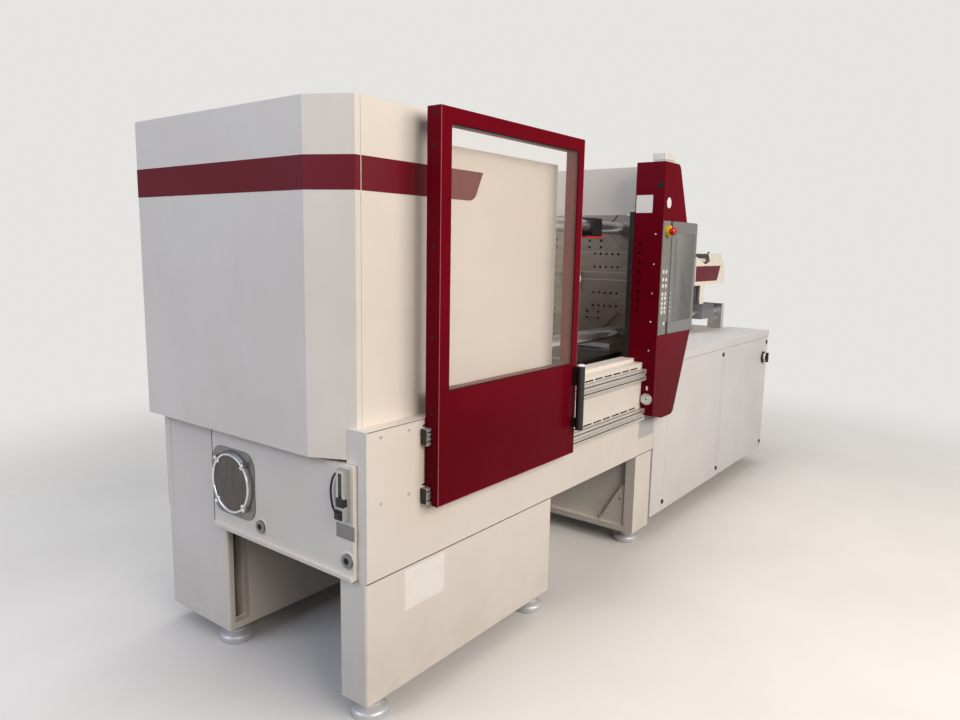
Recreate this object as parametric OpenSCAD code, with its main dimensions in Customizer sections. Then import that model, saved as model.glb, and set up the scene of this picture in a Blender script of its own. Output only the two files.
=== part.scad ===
// Horizontal servo-hydraulic injection moulding machine, clamp end towards -X, operator side towards -Y.
// Every piece is drawn in machine coordinates: X from the clamp end, Y from the operator side of the hood,
// Z from the floor. at_machine() then moves it so that the origin is on the floor under the middle.

/* [Clamp hood] */
// Height of the top of the clamp hood over the floor
hood_top = 1990; // [1900:10:2200]
// Height of the lower edge of the hood's end cap
hood_bottom = 890; // [860:5:900]
// Width of the hood across the machine
hood_w = 1107; // [1107:1:1111]
// Length of the full-height hood
hood_l = 480; // [440:5:520]
// Length of the end cap up to its seam
cap_l = 95; // [90:1:120]
// Chamfer of the end cap measured along the machine
chamfer_x = 74; // [60:1:80]
// Chamfer of the end cap measured across the machine
chamfer_y = 148; // [120:1:170]
// Sheet thickness of hood and panels
sheet = 3; // [2:0.5:4]
// Gap between neighbouring covers
seam = 1.5; // [1:0.5:3]
// Height of the colour band's lower edge
band_z = 1716; // [1650:2:1740]
// Height of the colour band
band_h = 102; // [80:2:120]
// Thickness of the colour band's film
band_t = 0.8; // [0.6:0.1:1.5]
// Length of the band along the operator side
band_l = 686; // [620:2:800]

/* [Bed] */
// Height of the bed's ledge over the floor
bed_top = 990; // [985:1:995]
// Height of the lower edge of the bed
bed_bottom = 500; // [480:2:502]
// How far the bed's side panel stands proud of the hood
bed_proud = 55; // [50:1:58]
// Distance from the hood's end to the bed's end
bed_end = 60; // [50:1:70]
// Position of the bed's rear side
bed_rear = 1105; // [1105:1:1106]
// Height of the legs' lower edge over the floor
leg_bottom = 75; // [65:1:85]
// Length of the leg boxes at the clamp end
leg_l = 1090; // [1000:5:1150]
// Width of the operator-side leg box
leg_w = 130; // [110:1:150]
// Width of the rear leg box
rear_leg_w = 403; // [350:1:420]
// Position of the middle leg's front face
mid_leg_x = 1965; // [1940:1:1975]
// Length of the middle leg
mid_leg_l = 185; // [160:1:195]
// Diameter of the levelling feet
foot_d = 126; // [100:2:128]

/* [Guard door] */
// Position of the door's left edge when open
door_x = 323; // [318:1:330]
// Width of the door
door_w = 882; // [860:1:890]
// Height of the door's lower edge
door_z = 695; // [680:1:700]
// Height of the door
door_h = 1291; // [1280:1:1291]
// Depth of the door's frame
door_depth = 57; // [50:1:60]
// Gap between the door's frame and the bed's side panel
door_gap = 5; // [4:1:8]
// Width of the frame beside the window on the left
stile_l = 53; // [40:1:70]
// Width of the frame beside the window on the right
stile_r = 43; // [36:1:60]
// Height of the frame over the window
rail_top_h = 49; // [40:1:60]
// Height of the window's lower edge
window_z = 1082; // [1060:1:1150]
// Thickness of the window
window_t = 8; // [5:1:10]
// Height of the upper guide rail's middle
rail_hi_z = 931; // [915:1:940]
// Height of the lower guide rail's middle
rail_lo_z = 728; // [726:1:740]
// Height of a guide rail
rail_h = 56; // [50:1:58]
// Depth of a guide rail
rail_d = 28; // [24:1:32]
// Diameter of the door's grip
grip_d = 34; // [28:1:36]
// Length of the door's grip
grip_l = 270; // [220:5:300]

/* [Clamp unit] */
// Height of the machine's axis over the floor
axis_z = 1390; // [1385:1:1395]
// Distance of the machine's axis from the hood's operator side
axis_y = 468; // [465:1:472]
// Distance between the tie bars' middles across the machine
tie_y = 595; // [590:1:600]
// Distance between the tie bars' middles in height
tie_z = 545; // [540:1:550]
// Diameter of the tie bars
tie_d = 64; // [58:1:70]
// Width of the platens
platen_w = 740; // [735:1:750]
// Height of the platens
platen_h = 690; // [685:1:700]
// Position of the fixed platen's mould face
fixed_x = 2131; // [2120:1:2140]
// Thickness of the fixed platen
fixed_t = 190; // [170:5:200]
// Position of the moving platen's mould face when open
moving_x = 1150; // [1130:1:1160]
// Thickness of the moving platen
moving_t = 210; // [190:5:220]
// Travel of the moving platen
clamp_stroke = 500; // [400:10:508]
// Pitch of the mould bolt holes
bolt_pitch = 35; // [35:0.5:36]
// Diameter of the mould bolt holes
bolt_d = 14; // [12:1:16]
// Depth of the mould bolt holes
bolt_deep = 32; // [24:1:40]
// Diameter of the fixed platen's locating bore
locating_d = 160; // [125:5:160]
// Diameter of the clamp ram
ram_d = 150; // [120:5:160]
// Outer diameter of the clamp cylinder
clamp_cyl_d = 300; // [260:5:320]
// Travel of the ejector
eject_stroke = 100; // [80:5:105]

/* [Control column] */
// Position of the column's left face
col_x = 1972; // [1970:1:1975]
// Width of the column's left face
col_depth = 151; // [145:1:155]
// Height of the column's top
col_top = 1980; // [1960:1:1980]
// Height of the column's lower end
col_bottom = 694; // [690:1:720]
// Width of the column at its widest
col_w = 428; // [420:1:440]
// Height of the display's lower edge over the floor
display_z = 1134; // [1120:2:1146]
// Width of the display module
display_w = 322; // [312:1:330]
// Height of the display module
display_h = 564; // [550:1:580]
// Thickness of the operating panel
panel_t = 8; // [7:0.5:12]
// Diameter of the emergency stop's head
stop_d = 40; // [34:1:42]
// Travel of the emergency stop
stop_travel = 4; // [3:0.5:5]

/* [Injection unit] */
// Outer diameter of the barrel
barrel_d = 96; // [88:1:100]
// Diameter of the screw
screw_d = 45; // [40:1:50]
// Travel of the carriage towards the platen
carriage_stroke = 220; // [200:5:240]
// Position of the feed throat's middle
throat_x = 3606; // [3600:1:3612]
// Travel of the screw
screw_stroke = 140; // [120:5:145]
// Position of the injection cover's rear end
inj_end = 3994; // [3980:1:4000]
// Height of the injection cover's top
inj_top = 1536; // [1530:1:1545]
// Width of the injection cover
inj_w = 400; // [390:1:410]

/* [Cabinet] */
// Position of the cabinet's left edge
cab_x = 2164; // [2160:1:2170]
// Position of the cabinet's right edge
cab_end = 4091; // [4085:1:4100]
// Depth of the cabinet
cab_d = 300; // [280:1:300]
// Height of the cabinet's lower edge
cab_bottom = 108; // [100:1:120]
// Height of the lid's folded edge
lid_h = 45; // [40:1:50]
// Position of the split between the two doors
cab_split = 3190; // [3150:1:3220]
// Width of the fixed strip left of the first door
strip_w = 171; // [168:1:180]

/* [Hidden] */
$fn = 48;

// Everything is set from the same places
bed_y = -bed_proud;
leg_end = bed_end + leg_l;
door_back = bed_y - door_gap;
door_front = door_back - door_depth;
door_r = door_x + door_w;
door_top = door_z + door_h;
door_travel = col_x - door_r - 12;
panel_r = moving_x + 45;
panel_top = door_top - 93;
tie_r = tie_y / 2;
tie_h = tie_z / 2;
fixed_back = fixed_x + fixed_t;
moving_back = moving_x - moving_t;
col_front = bed_y - 71;
col_back = col_front + col_depth;
panel_front = col_front - panel_t;
key_front = panel_front + 4;
stop_y = key_front - 16;
grip_out = 34;
grip_front = door_front - grip_out - grip_d / 2;
front_reach = min(stop_y - stop_travel - 26, grip_front);
rear_reach = bed_y + bed_rear - grip_front;
lid_over = 5;
reach_x = cab_end + lid_over;
seat = 0.3;
inj_y = axis_y - inj_w / 2;

module at_machine() translate([-(reach_x - band_t) / 2, -(front_reach + rear_reach) / 2, 0]) children();
module at_rear() translate([0, bed_y + bed_rear, 0]) mirror([0, 1, 0]) children();
module box(x0, x1, y0, y1, z0, z1) translate([x0, y0, z0]) cube([x1 - x0, y1 - y0, z1 - z0]);
module rod_x(x0, x1, y, z, d) translate([x0, y, z]) rotate([0, 90, 0]) cylinder(d = d, h = x1 - x0);
module rod_y(x, y0, y1, z, d) translate([x, y1, z]) rotate([90, 0, 0]) cylinder(d = d, h = y1 - y0);
module rod_z(x, y, z0, z1, d) translate([x, y, z0]) cylinder(d = d, h = z1 - z0);
// A profile in X and Z carried across the machine
module across(y0, y1, pts) translate([0, y1, 0]) rotate([90, 0, 0]) linear_extrude(height = y1 - y0) polygon(pts);
// A profile in Y and Z carried along the machine
module along(x0, x1, pts) translate([x0, 0, 0]) rotate([90, 0, 90]) linear_extrude(height = x1 - x0) polygon(pts);
function arc(cx, cy, r, a0, a1, n) = [for (i = [0:n]) let (a = a0 + (a1 - a0) * i / n) [cx + r * cos(a), cy + r * sin(a)]];
function round_box(x0, x1, y0, y1, r) = concat(
    arc(x1 - r, y1 - r, r, 0, 90, 6), arc(x0 + r, y1 - r, r, 90, 180, 6),
    arc(x0 + r, y0 + r, r, 180, 270, 6), arc(x1 - r, y0 + r, r, 270, 360, 6));
function reversed(p) = [for (i = [len(p) - 1:-1:0]) p[i]];

// The hood's outline from the operator side round the end to the rear, set inwards by i
chamfer_h = sqrt(chamfer_x * chamfer_x + chamfer_y * chamfer_y);
function hood_path(i, xe) = [[xe, i], [chamfer_x + i * (chamfer_h - chamfer_x) / chamfer_y, i],
    [i, chamfer_y + i * (chamfer_h - chamfer_y) / chamfer_x], [i, hood_w - i], [xe, hood_w - i]];
module hood_wall(i0, i1, xe, z0, z1) translate([0, 0, z0]) linear_extrude(height = z1 - z0)
    polygon(concat(hood_path(i0, xe), reversed(hood_path(i1, xe))));

module hood_end_cap() at_machine() color("whitesmoke") {
    difference() {
        union() {
            hood_wall(0, sheet, cap_l, hood_bottom, hood_top);
            // folded lip that stiffens the lower edge
            hood_wall(sheet / 2, 22, cap_l, hood_bottom, hood_bottom + sheet);
        }
        // the side walls stop on the bed's ledges
        box(bed_end - 1, cap_l + 1, -1, bed_y + sheet + beam_w + 8, hood_bottom - 1, bed_top);
        box(bed_end - 1, cap_l + 1, bed_rear - sheet - beam_w - 8, hood_w + 1, hood_bottom - 1, bed_top);
    }
    translate([0, 0, hood_top - sheet]) linear_extrude(height = sheet) polygon(hood_path(sheet / 2, cap_l));
}

module hood_body() at_machine() color("white") {
    x0 = cap_l + seam;
    box(x0, hood_l, 0, sheet, bed_top, hood_top);
    box(x0, hood_l, hood_w - sheet, hood_w, bed_top, hood_top);
    box(x0, hood_l, 0, hood_w, hood_top - sheet, hood_top);
    // portal frame that carries the covers
    for (y = [sheet, hood_w - sheet - 40]) box(x0 - 20, x0 + 30, y, y + 40, bed_top, hood_top - sheet);
    box(x0 - 20, x0 + 30, sheet, hood_w - sheet, hood_top - sheet - 40, hood_top - sheet);
}

module colour_band() at_machine() color("maroon") {
    z1 = band_z + band_h;
    // the film is cut where the end cap meets the hood
    difference() {
        hood_wall(-band_t, 0, hood_l, band_z, z1);
        box(cap_l - 0.5, cap_l + seam + 2.5, -band_t - 1, hood_w + 1 + band_t, band_z - 1, z1 + 1);
    }
    r = 22;
    slant = 70;
    across(-band_t, 0, concat([[hood_l, z1], [hood_l, band_z]],
        arc(band_l - slant - r, band_z + r, r, 270, 328, 5), arc(band_l - r * 1.6, z1 - r, r, 330, 90 + 360, 8)));
}

module guard_panel() {
    x0 = hood_l + seam;
    box(x0, panel_r, 0, sheet, bed_top, panel_top);
    box(panel_r - sheet, panel_r, 0, 40, bed_top, panel_top);
    box(x0, panel_r, 0, 30, panel_top - sheet, panel_top);
    box(x0, x0 + sheet, 0, 40, bed_top, panel_top);
    box(x0, panel_r, 0, 40, bed_top, bed_top + sheet);
}
module mould_guards() at_machine() color("white") {
    guard_panel();
    translate([0, hood_w, 0]) mirror([0, 1, 0]) guard_panel();
}

// Folded side panel of the bed with its ledge and end return
module side_panel(x1) {
    box(bed_end, x1, bed_y, bed_y + sheet, bed_bottom, bed_top);
    box(bed_end, x1, bed_y, 24, bed_top - sheet, bed_top);
    box(bed_end, bed_end + sheet, bed_y, bed_y + 40, bed_bottom, bed_top);
    box(bed_end, x1, bed_y, bed_y + 25, bed_bottom, bed_bottom + sheet);
}
module side_panels() at_machine() color("ivory") {
    side_panel(mid_leg_x + mid_leg_l);
    // end return widened over the tank panel, up to the hood's chamfer
    box(bed_end, bed_end + sheet, bed_y + 39, 34, hood_bottom - 11, bed_top);
    at_rear() side_panel(cab_end - 50);
}

leg_back = 4;
module leg_box_front() {
    r = 10;
    y0 = bed_y + leg_back;
    y1 = bed_y + leg_w;
    difference() {
        translate([0, 0, leg_bottom]) linear_extrude(height = bed_bottom - leg_bottom)
            polygon(round_box(bed_end, leg_end, y0, y1, r));
        box(bed_end + sheet, leg_end - sheet, y0 + sheet, y1 - sheet, leg_bottom + 8, bed_bottom - 40);
    }
}

module leg_box_rear() {
    r = 10;
    y1 = bed_rear - leg_back;
    y0 = bed_rear - rear_leg_w;
    difference() {
        translate([0, 0, leg_bottom]) linear_extrude(height = bed_bottom - leg_bottom)
            polygon(round_box(bed_end, leg_end, y0, y1, r));
        box(bed_end + sheet, leg_end - sheet, y0 + 40, y1 - sheet, leg_bottom + 8, bed_bottom - 40);
        // open channel behind the inner flange
        box(bed_end + 26, bed_end + 90, y0 - 1, y0 + 34, leg_bottom + 26, bed_bottom - 6);
    }
    // end face carried up to the hood
    box(bed_end, bed_end + sheet, tank_panel_y1 + seam, bed_rear - 42, bed_bottom - 1, bed_top - 12);
}
module leg_boxes() at_machine() color("ivory") {
    leg_box_front();
    leg_box_rear();
}

module middle_pedestal() {
    x1 = mid_leg_x + mid_leg_l;
    wall_x = mid_leg_x + 40;
    for (rear = [0, 1]) translate([0, rear * (bed_y + bed_rear), 0]) mirror([0, rear, 0]) {
        difference() {
            box(mid_leg_x, x1, bed_y + leg_back, bed_y + 57, leg_bottom, bed_bottom);
            box(mid_leg_x + sheet, x1 - sheet, bed_y + leg_back + sheet, bed_y + 54, leg_bottom + 8, bed_bottom - 20);
        }
        // gusset between the post and the floor plate
        difference() {
            along(mid_leg_x + 12, mid_leg_x + 20, [[bed_y + 57, leg_bottom + 30], [bed_y + 205, leg_bottom + 30],
                [bed_y + 205, leg_bottom + 46], [bed_y + 190, leg_bottom + 60], [bed_y + 80, bed_bottom - 175],
                [bed_y + 57, bed_bottom - 170]]);
            rod_x(mid_leg_x, mid_leg_x + 40, bed_y + 92, leg_bottom + 170, 14);
        }
    }
    box(wall_x, wall_x + 5, bed_y + 57, bed_rear - 57, leg_bottom + 30, bed_bottom);
    box(mid_leg_x, x1, bed_y + 57, bed_rear - 57, leg_bottom, leg_bottom + 30);
}

module end_pedestal() {
    y0 = bed_y + cab_d + 12;
    difference() {
        box(cab_end - 200, cab_end - 60, y0, bed_rear - sheet, leg_bottom, bed_bottom);
        box(cab_end - 195, cab_end - 65, y0 + 5, bed_rear - sheet - 5, leg_bottom + 8, bed_bottom - 30);
    }
}

module pedestals() at_machine() color("ivory") {
    middle_pedestal();
    end_pedestal();
}

// A levelling foot: turned pad, ball neck and stud
module foot() rotate_extrude() polygon(concat([[0, 0], [foot_d / 2 - 3, 0], [foot_d / 2, 3], [foot_d / 2, 18]],
    arc(foot_d / 2 - 14, 18, 14, 0, 70, 5), [[foot_d * 0.3, 40], [foot_d * 0.3, 48], [foot_d * 0.2, 52],
    [foot_d * 0.2, leg_bottom], [0, leg_bottom]]));
module levelling_feet() at_machine() color("silver") {
    front = bed_y + leg_w / 2;
    rear = bed_rear - rear_leg_w + foot_d / 2 + 4;
    for (x = [bed_end + 72, leg_end - 72]) {
        translate([x, front, 0]) foot();
        translate([x, rear, 0]) foot();
    }
    for (y = [bed_y + 88, bed_rear - 88]) translate([mid_leg_x + mid_leg_l / 2, y, 0]) foot();
    for (y = [bed_y + cab_d + 90, bed_rear - 90]) translate([cab_end - 130, y, 0]) foot();
}

// Hollow beam of the welded bed
module beam(x0, x1, y0, y1, z0, z1, t = 8) difference() {
    box(x0, x1, y0, y1, z0, z1);
    box(x0 - 1, x1 + 1, y0 + t, y1 - t, z0 + t, z1 - t);
}
beam_z0 = bed_bottom + sheet;
beam_z1 = bed_top - sheet;
beam_x0 = bed_end + sheet;
beam_w = 105;
module bed_beams() at_machine() color("gainsboro") {
    y2 = bed_y + cab_d + 12;
    beam(beam_x0, mid_leg_x + mid_leg_l, bed_y + sheet, bed_y + sheet + beam_w, beam_z0, beam_z1);
    beam(beam_x0, cab_end - 50, bed_rear - sheet - beam_w, bed_rear - sheet, beam_z0, beam_z1);
    beam(fixed_x + 170, cab_end - 50, y2, y2 + beam_w, beam_z0, beam_z1);
}

module cross_members() at_machine() color("gainsboro") {
    y0 = bed_y + sheet + beam_w;
    y1 = bed_rear - sheet - beam_w;
    for (x = [leg_end + 40, mid_leg_x + 20]) box(x, x + 60, y0, y1, beam_z0, beam_z0 + 110);
    for (x = [fixed_x + 20, cyl_platen_x + 20]) box(x, x + 150, y0, y1, beam_z1 - 60, beam_z1);
    // bearers under the guideways
    for (x = [cyl_platen_x + cyl_platen_t + 60, (cyl_platen_x + fixed_x) / 2, fixed_x - 260])
        box(x, x + 70, y0, y1, way_z0 - 60, way_z0);
    y2 = bed_y + cab_d + 12 + beam_w;
    for (x = [cab_x + 540, cab_x + 1190, cab_end - 170]) box(x, x + 60, y2, y1, beam_z1 - 110, beam_z1);
}

tank_x1 = leg_end - 20;
module oil_tank() at_machine() color("lightgray") difference() {
    y0 = bed_y + sheet + beam_w + 2;
    y1 = bed_rear - sheet - beam_w - 2;
    box(beam_x0, tank_x1, y0, y1, beam_z0, hood_bottom - 30);
    box(beam_x0 + 5, tank_x1 - 5, y0 + 5, y1 - 5, beam_z0 + 5, hood_bottom - 35);
}

tank_panel_y0 = -12;
tank_panel_y1 = 752;
tank_panel_x = bed_end - 16;
module tank_panel() at_machine() color("ghostwhite") {
    box(tank_panel_x, beam_x0, tank_panel_y0, tank_panel_y1, bed_bottom + 16, hood_bottom - 12);
    // folded drip lip
    along(tank_panel_x - 12, bed_end, [[tank_panel_y0, bed_bottom + 4], [tank_panel_y1 - 6, bed_bottom + 4],
        [tank_panel_y1, bed_bottom + 10], [tank_panel_y1, bed_bottom + 16], [tank_panel_y0, bed_bottom + 16]]);
}

cover_y = 618;
cover_z = 695;
cover_d = 236;
module inspection_cover() {
    h = 126;
    difference() {
        along(tank_panel_x - 4, tank_panel_x, round_box(cover_y - h, cover_y + h, cover_z - h, cover_z + h, 56));
        rod_x(tank_panel_x - 5, tank_panel_x + 1, cover_y, cover_z, cover_d - 60);
    }
    // raised ring and dished disc
    translate([tank_panel_x - 4, cover_y, cover_z]) rotate([0, -90, 0]) rotate_extrude($fn = 64)
        polygon([[0, 4], [cover_d / 2 - 22, 4], [cover_d / 2 - 16, 12], [cover_d / 2 - 6, 12], [cover_d / 2, 6],
            [cover_d / 2, 0], [0, 0]]);
    for (a = [45:90:315]) {
        y = cover_y + (cover_d / 2 - 4) * cos(a) * 1.02;
        z = cover_z + (cover_d / 2 - 4) * sin(a) * 1.02;
        rod_x(tank_panel_x - 22, tank_panel_x - 4, y, z, 20);
    }
}

module plug(y, z) difference() {
    rod_x(tank_panel_x - 9, tank_panel_x, y, z, 46);
    translate([tank_panel_x - 10, y, z]) rotate([0, 90, 0]) cylinder(d = 22, h = 8, $fn = 6);
}
module tank_fittings() at_machine() color("silver") {
    inspection_cover();
    plug(460, 567);
    plug(13, 567);
}

gauge_y = 22;
gauge_z0 = 742;
gauge_z1 = hood_bottom - 22;
module level_gauge() at_machine() {
    color("silver") difference() {
        box(tank_panel_x - 24, tank_panel_x, gauge_y - 17, gauge_y + 17, gauge_z0, gauge_z1);
        box(tank_panel_x - 25, tank_panel_x - 8, gauge_y - 8, gauge_y + 8, gauge_z0 + 34, gauge_z1 - 12);
    }
    color("dimgray") box(tank_panel_x - 30, tank_panel_x, gauge_y - 17, gauge_y + 20, gauge_z0 - 36, gauge_z0);
}

// Sensor lead of the level gauge, clipped from its plug round to the gauge's head
cable_d = 7;
cable_x = tank_panel_x - 12;
CABLE = [[gauge_y + 20, 718], [gauge_y + 30, 717], [gauge_y + 40, 724], [gauge_y + 49, 740], [gauge_y + 54, 762],
    [gauge_y + 56, 786], [gauge_y + 53, 810], [gauge_y + 46, 830], [gauge_y + 36, 845], [gauge_y + 26, 852],
    [gauge_y + 17, 854]];
function cable_dir(i) = let (a = CABLE[max(i - 1, 0)], b = CABLE[min(i + 1, len(CABLE) - 1)], d = b - a) d / norm(d);
module gauge_cable() at_machine() color("black") {
    n = 8;
    m = len(CABLE);
    pts = [for (i = [0:m - 1]) let (t = cable_dir(i)) for (k = [0:n - 1]) let (a = 360 * k / n)
        [cable_x + cable_d / 2 * cos(a), CABLE[i][0] - t[1] * cable_d / 2 * sin(a), CABLE[i][1] + t[0] * cable_d / 2 * sin(a)]];
    faces = concat([[for (k = [0:n - 1]) k]], [[for (k = [n - 1:-1:0]) (m - 1) * n + k]],
        [for (i = [0:m - 2]) for (k = [0:n - 1]) [i * n + k, (i + 1) * n + k, (i + 1) * n + (k + 1) % n, i * n + (k + 1) % n]]);
    polyhedron(points = pts, faces = faces);
}

// Servo motor, coupling housing and pump under the mould space
module pump_set() at_machine() color("slategray") {
    y1 = bed_rear - sheet - beam_w;
    y = y1 - 150;
    z0 = beam_z0 + 110;
    z = z0 + 12 + 116;
    rod_x(leg_end + 50, leg_end + 330, y, z, 200);
    rod_x(leg_end + 330, leg_end + 430, y, z, 150);
    rod_x(leg_end + 430, leg_end + 560, y, z, 176);
    for (x = [leg_end + 60, leg_end + 500]) box(x, x + 40, y - 80, y + 80, z0 + 12, z);
    box(leg_end + 40, leg_end + 560, y - 110, y1, z0, z0 + 12);
}

module mould_ledge() at_machine() color("beige") {
    x1 = col_x - 2;
    box(panel_r + seam, x1, -10, 62, bed_top, bed_top + 18);
    // inclined apron down to the drop opening
    along(panel_r + seam, x1, [[62, bed_top], [62, bed_top + 18], [way_y0 - 4, way_z0 + 16], [way_y0 - 4, way_z0 + 13]]);
}

module guard_rail_pair(x0) for (z = [rail_hi_z, rail_lo_z]) difference() {
    box(x0, col_x - 2, bed_y - rail_d, bed_y, z - rail_h / 2, z + rail_h / 2);
    box(x0 - 1, col_x, bed_y - rail_d - 1, bed_y - rail_d + 7, z - 5, z + 5);
    box(x0 - 1, col_x, bed_y - 15, bed_y - 7, z + rail_h / 2 - 9, z + rail_h / 2 + 1);
}
module guard_rails() at_machine() color("silver") {
    guard_rail_pair(door_x - 18);
    at_rear() guard_rail_pair(door_x - 18);
}

win_x0 = door_x + stile_l;
win_x1 = door_r - stile_r;
win_z1 = door_top - rail_top_h;
// Box-section door, folded from sheet and open at the back
module door_frame() difference() {
    box(door_x, door_r, door_front, door_back, door_z, door_top);
    box(win_x0, win_x1, door_front - 1, door_back + 1, window_z, win_z1);
    difference() {
        box(door_x + sheet, door_r - sheet, door_front + sheet, door_back + 1, door_z + sheet, door_top - sheet);
        box(win_x0 - sheet, win_x1 + sheet, door_front, door_back, window_z - sheet, win_z1 + sheet);
    }
    for (z = [rail_hi_z, rail_lo_z]) box(door_x - 1, door_r + 1, bed_y - rail_d - 6, door_back + 1,
        z - rail_h / 2 - 6, z + rail_h / 2 + 4);
}
module door_window() box(win_x0 + seat, win_x1 - seat, door_front + 4, door_front + 4 + window_t,
    window_z + seat, win_z1 - seat);
// Round bar standing proud of the closing edge, on two angled feet
module door_grip() {
    x = door_r - 20;
    y = door_front - grip_out;
    z0 = door_z + 110;
    rod_z(x, y, z0, z0 + grip_l, grip_d);
    for (z = [[z0 + 10, z0 + 46], [z0 + grip_l - 84, z0 + grip_l - 6]]) box(x - 9, x + 9, y, door_front, z[0], z[1]);
}
module door_carriers() for (z = [rail_hi_z, rail_lo_z]) {
    // roller blocks inside the frame, before and above the rail, at both of its ends
    for (x = [door_x + 40, door_r - 90]) {
        box(x, x + 50, door_front + sheet, bed_y - rail_d - 2, z - 24, z + 24);
        box(x, x + 50, door_front + sheet, door_back + 3, z + rail_h / 2 + seat, z + rail_h / 2 + 22);
    }
}
module closed_rear() at_rear() translate([door_travel, 0, 0]) children();
module door_frame_front() at_machine() color("maroon") door_frame();
module door_window_front() at_machine() color([0.9, 0.95, 1, 0.3]) door_window();
module door_grip_front() at_machine() color("black") door_grip();
module door_carriers_front() at_machine() color("black") door_carriers();
module door_frame_rear() at_machine() color("maroon") closed_rear() door_frame();
module door_window_rear() at_machine() color([0.9, 0.95, 1, 0.3]) closed_rear() door_window();
module door_grip_rear() at_machine() color("black") closed_rear() door_grip();
module door_carriers_rear() at_machine() color("black") closed_rear() door_carriers();

module four_bars() for (y = [-tie_r, tie_r]) for (z = [-tie_h, tie_h]) translate([0, axis_y + y, axis_z + z]) children();
module platen_block(x0, x1, c) along(x0, x1, [for (s = [[1, 1], [-1, 1], [-1, -1], [1, -1]])
    for (k = s[0] * s[1] > 0 ? [0, 1] : [1, 0])
        [axis_y + s[0] * (platen_w / 2 - k * c), axis_z + s[1] * (platen_h / 2 - (1 - k) * c)]]);

cyl_x0 = 34;
cyl_platen_x = hood_l - 10;
cyl_platen_t = 200;
module cylinder_platen() at_machine() color("lightslategray") {
    difference() {
        union() {
            platen_block(cyl_platen_x, cyl_platen_x + cyl_platen_t, 60);
            box(cyl_platen_x, cyl_platen_x + cyl_platen_t, axis_y - platen_w / 2, axis_y + platen_w / 2, bed_top - sheet, axis_z - platen_h / 2 + 80);
        }
        rod_x(cyl_platen_x - 1, cyl_platen_x + cyl_platen_t + 1, axis_y, axis_z, ram_d + 0.1);
        four_bars() translate([cyl_platen_x - 1, 0, 0]) rotate([0, 90, 0]) cylinder(d = tie_d, h = cyl_platen_t + 2);
    }
    // hydraulic cylinder on the platen's back and its gland on the front
    difference() {
        rod_x(cyl_x0, cyl_platen_x - seat, axis_y, axis_z, clamp_cyl_d);
        rod_x(cyl_x0 + 14, cyl_platen_x + 1, axis_y, axis_z, ram_d + 0.1);
        box(cyl_x0 + 119, cyl_x0 + 301, axis_y - 91, axis_y + 91, axis_z + clamp_cyl_d / 2 - 20, axis_z + clamp_cyl_d);
    }
    difference() {
        rod_x(cyl_platen_x + cyl_platen_t + seat, cyl_platen_x + cyl_platen_t + 30, axis_y, axis_z, clamp_cyl_d - 60);
        rod_x(cyl_platen_x + cyl_platen_t, cyl_platen_x + cyl_platen_t + 40, axis_y, axis_z, ram_d + 0.1);
    }
    // valve block on the cylinder
    box(cyl_x0 + 120, cyl_x0 + 300, axis_y - 90, axis_y + 90, axis_z + clamp_cyl_d / 2 - 20 + seat, axis_z + clamp_cyl_d / 2 + 120);
}

tie_x0 = cyl_platen_x - 62;
tie_x1 = fixed_back + 62;
module tie_bars() at_machine() color("silver") four_bars() {
    translate([tie_x0, 0, 0]) rotate([0, 90, 0]) cylinder(d = tie_d, h = tie_x1 - tie_x0);
    for (x = [cyl_platen_x - 54, fixed_back]) translate([x, 0, 0]) rotate([0, 90, 0])
        cylinder(d = tie_d * 1.7, h = 54, $fn = 6);
}

// Saddle block snapped on the upper operator-side bar from outside, with a plate under it
clamp_y = axis_y - tie_r;
clamp_z = axis_z + tie_h;
module bar_clamp() at_machine() {
    x = fixed_x - 396;
    y1 = clamp_y + tie_d / 2 - 4;
    color("black") difference() {
        along(x, x + 90, round_box(clamp_y - 44, y1, clamp_z - 46, clamp_z + 42, 8));
        rod_x(x - 1, x + 91, clamp_y, clamp_z, tie_d + 0.1);
    }
    color("red") box(x - 70, x + 110, clamp_y - 48, y1, clamp_z - 53, clamp_z - 46);
}

// Guideways that carry the moving platen
way_w = 44;
way_y = platen_w / 2 - 70;
way_z0 = bed_top - 20;
way_y0 = axis_y - way_y - 70;
module clamp_ways() at_machine() color("gray") for (s = [-1, 1]) {
    y = axis_y + s * way_y;
    box(cyl_platen_x + cyl_platen_t, fixed_x, y - way_w / 2, y + way_w / 2, way_z0 + 12, bed_top + 18);
    box(cyl_platen_x + cyl_platen_t, fixed_x, y - 70, y + 70, way_z0, way_z0 + 12);
}

// Mould bolt holes in the usual 35 mm raster
module bolt_grid(x0, x1) {
    for (s = [-1, 1]) for (row = [-4, -2, 2, 4]) for (col = [4:8])
        rod_x(x0, x1, axis_y + s * col * bolt_pitch, axis_z + row * bolt_pitch, bolt_d);
    for (s = [-3, 3, -5, 5]) for (row = [-6, -5, 5, 6])
        rod_x(x0, x1, axis_y + s * bolt_pitch, axis_z + row * bolt_pitch, bolt_d);
}
module moving_platen() at_machine() color("darkgray") difference() {
    union() {
        platen_block(moving_back, moving_x, 70);
        for (s = [-1, 1]) box(moving_back, moving_x, axis_y + s * way_y - 50, axis_y + s * way_y + 50,
            bed_top + 4, axis_z - platen_h / 2 + 80);
    }
    for (s = [-1, 1]) box(moving_back - 1, moving_x + 1, axis_y + s * way_y - way_w / 2 - seat,
        axis_y + s * way_y + way_w / 2 + seat, bed_top, bed_top + 18 + seat);
    four_bars() translate([moving_back - 1, 0, 0]) rotate([0, 90, 0]) cylinder(d = tie_d + 0.1, h = moving_t + 2);
    bolt_grid(moving_x - bolt_deep, moving_x + 1);
    rod_x(moving_x - 60, moving_x + 1, axis_y, axis_z, 50.1);
    box(moving_x - 60 - eject_stroke - 24, moving_x - 60, axis_y - 101, axis_y + 101, axis_z - 61, axis_z + 61);
}
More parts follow.
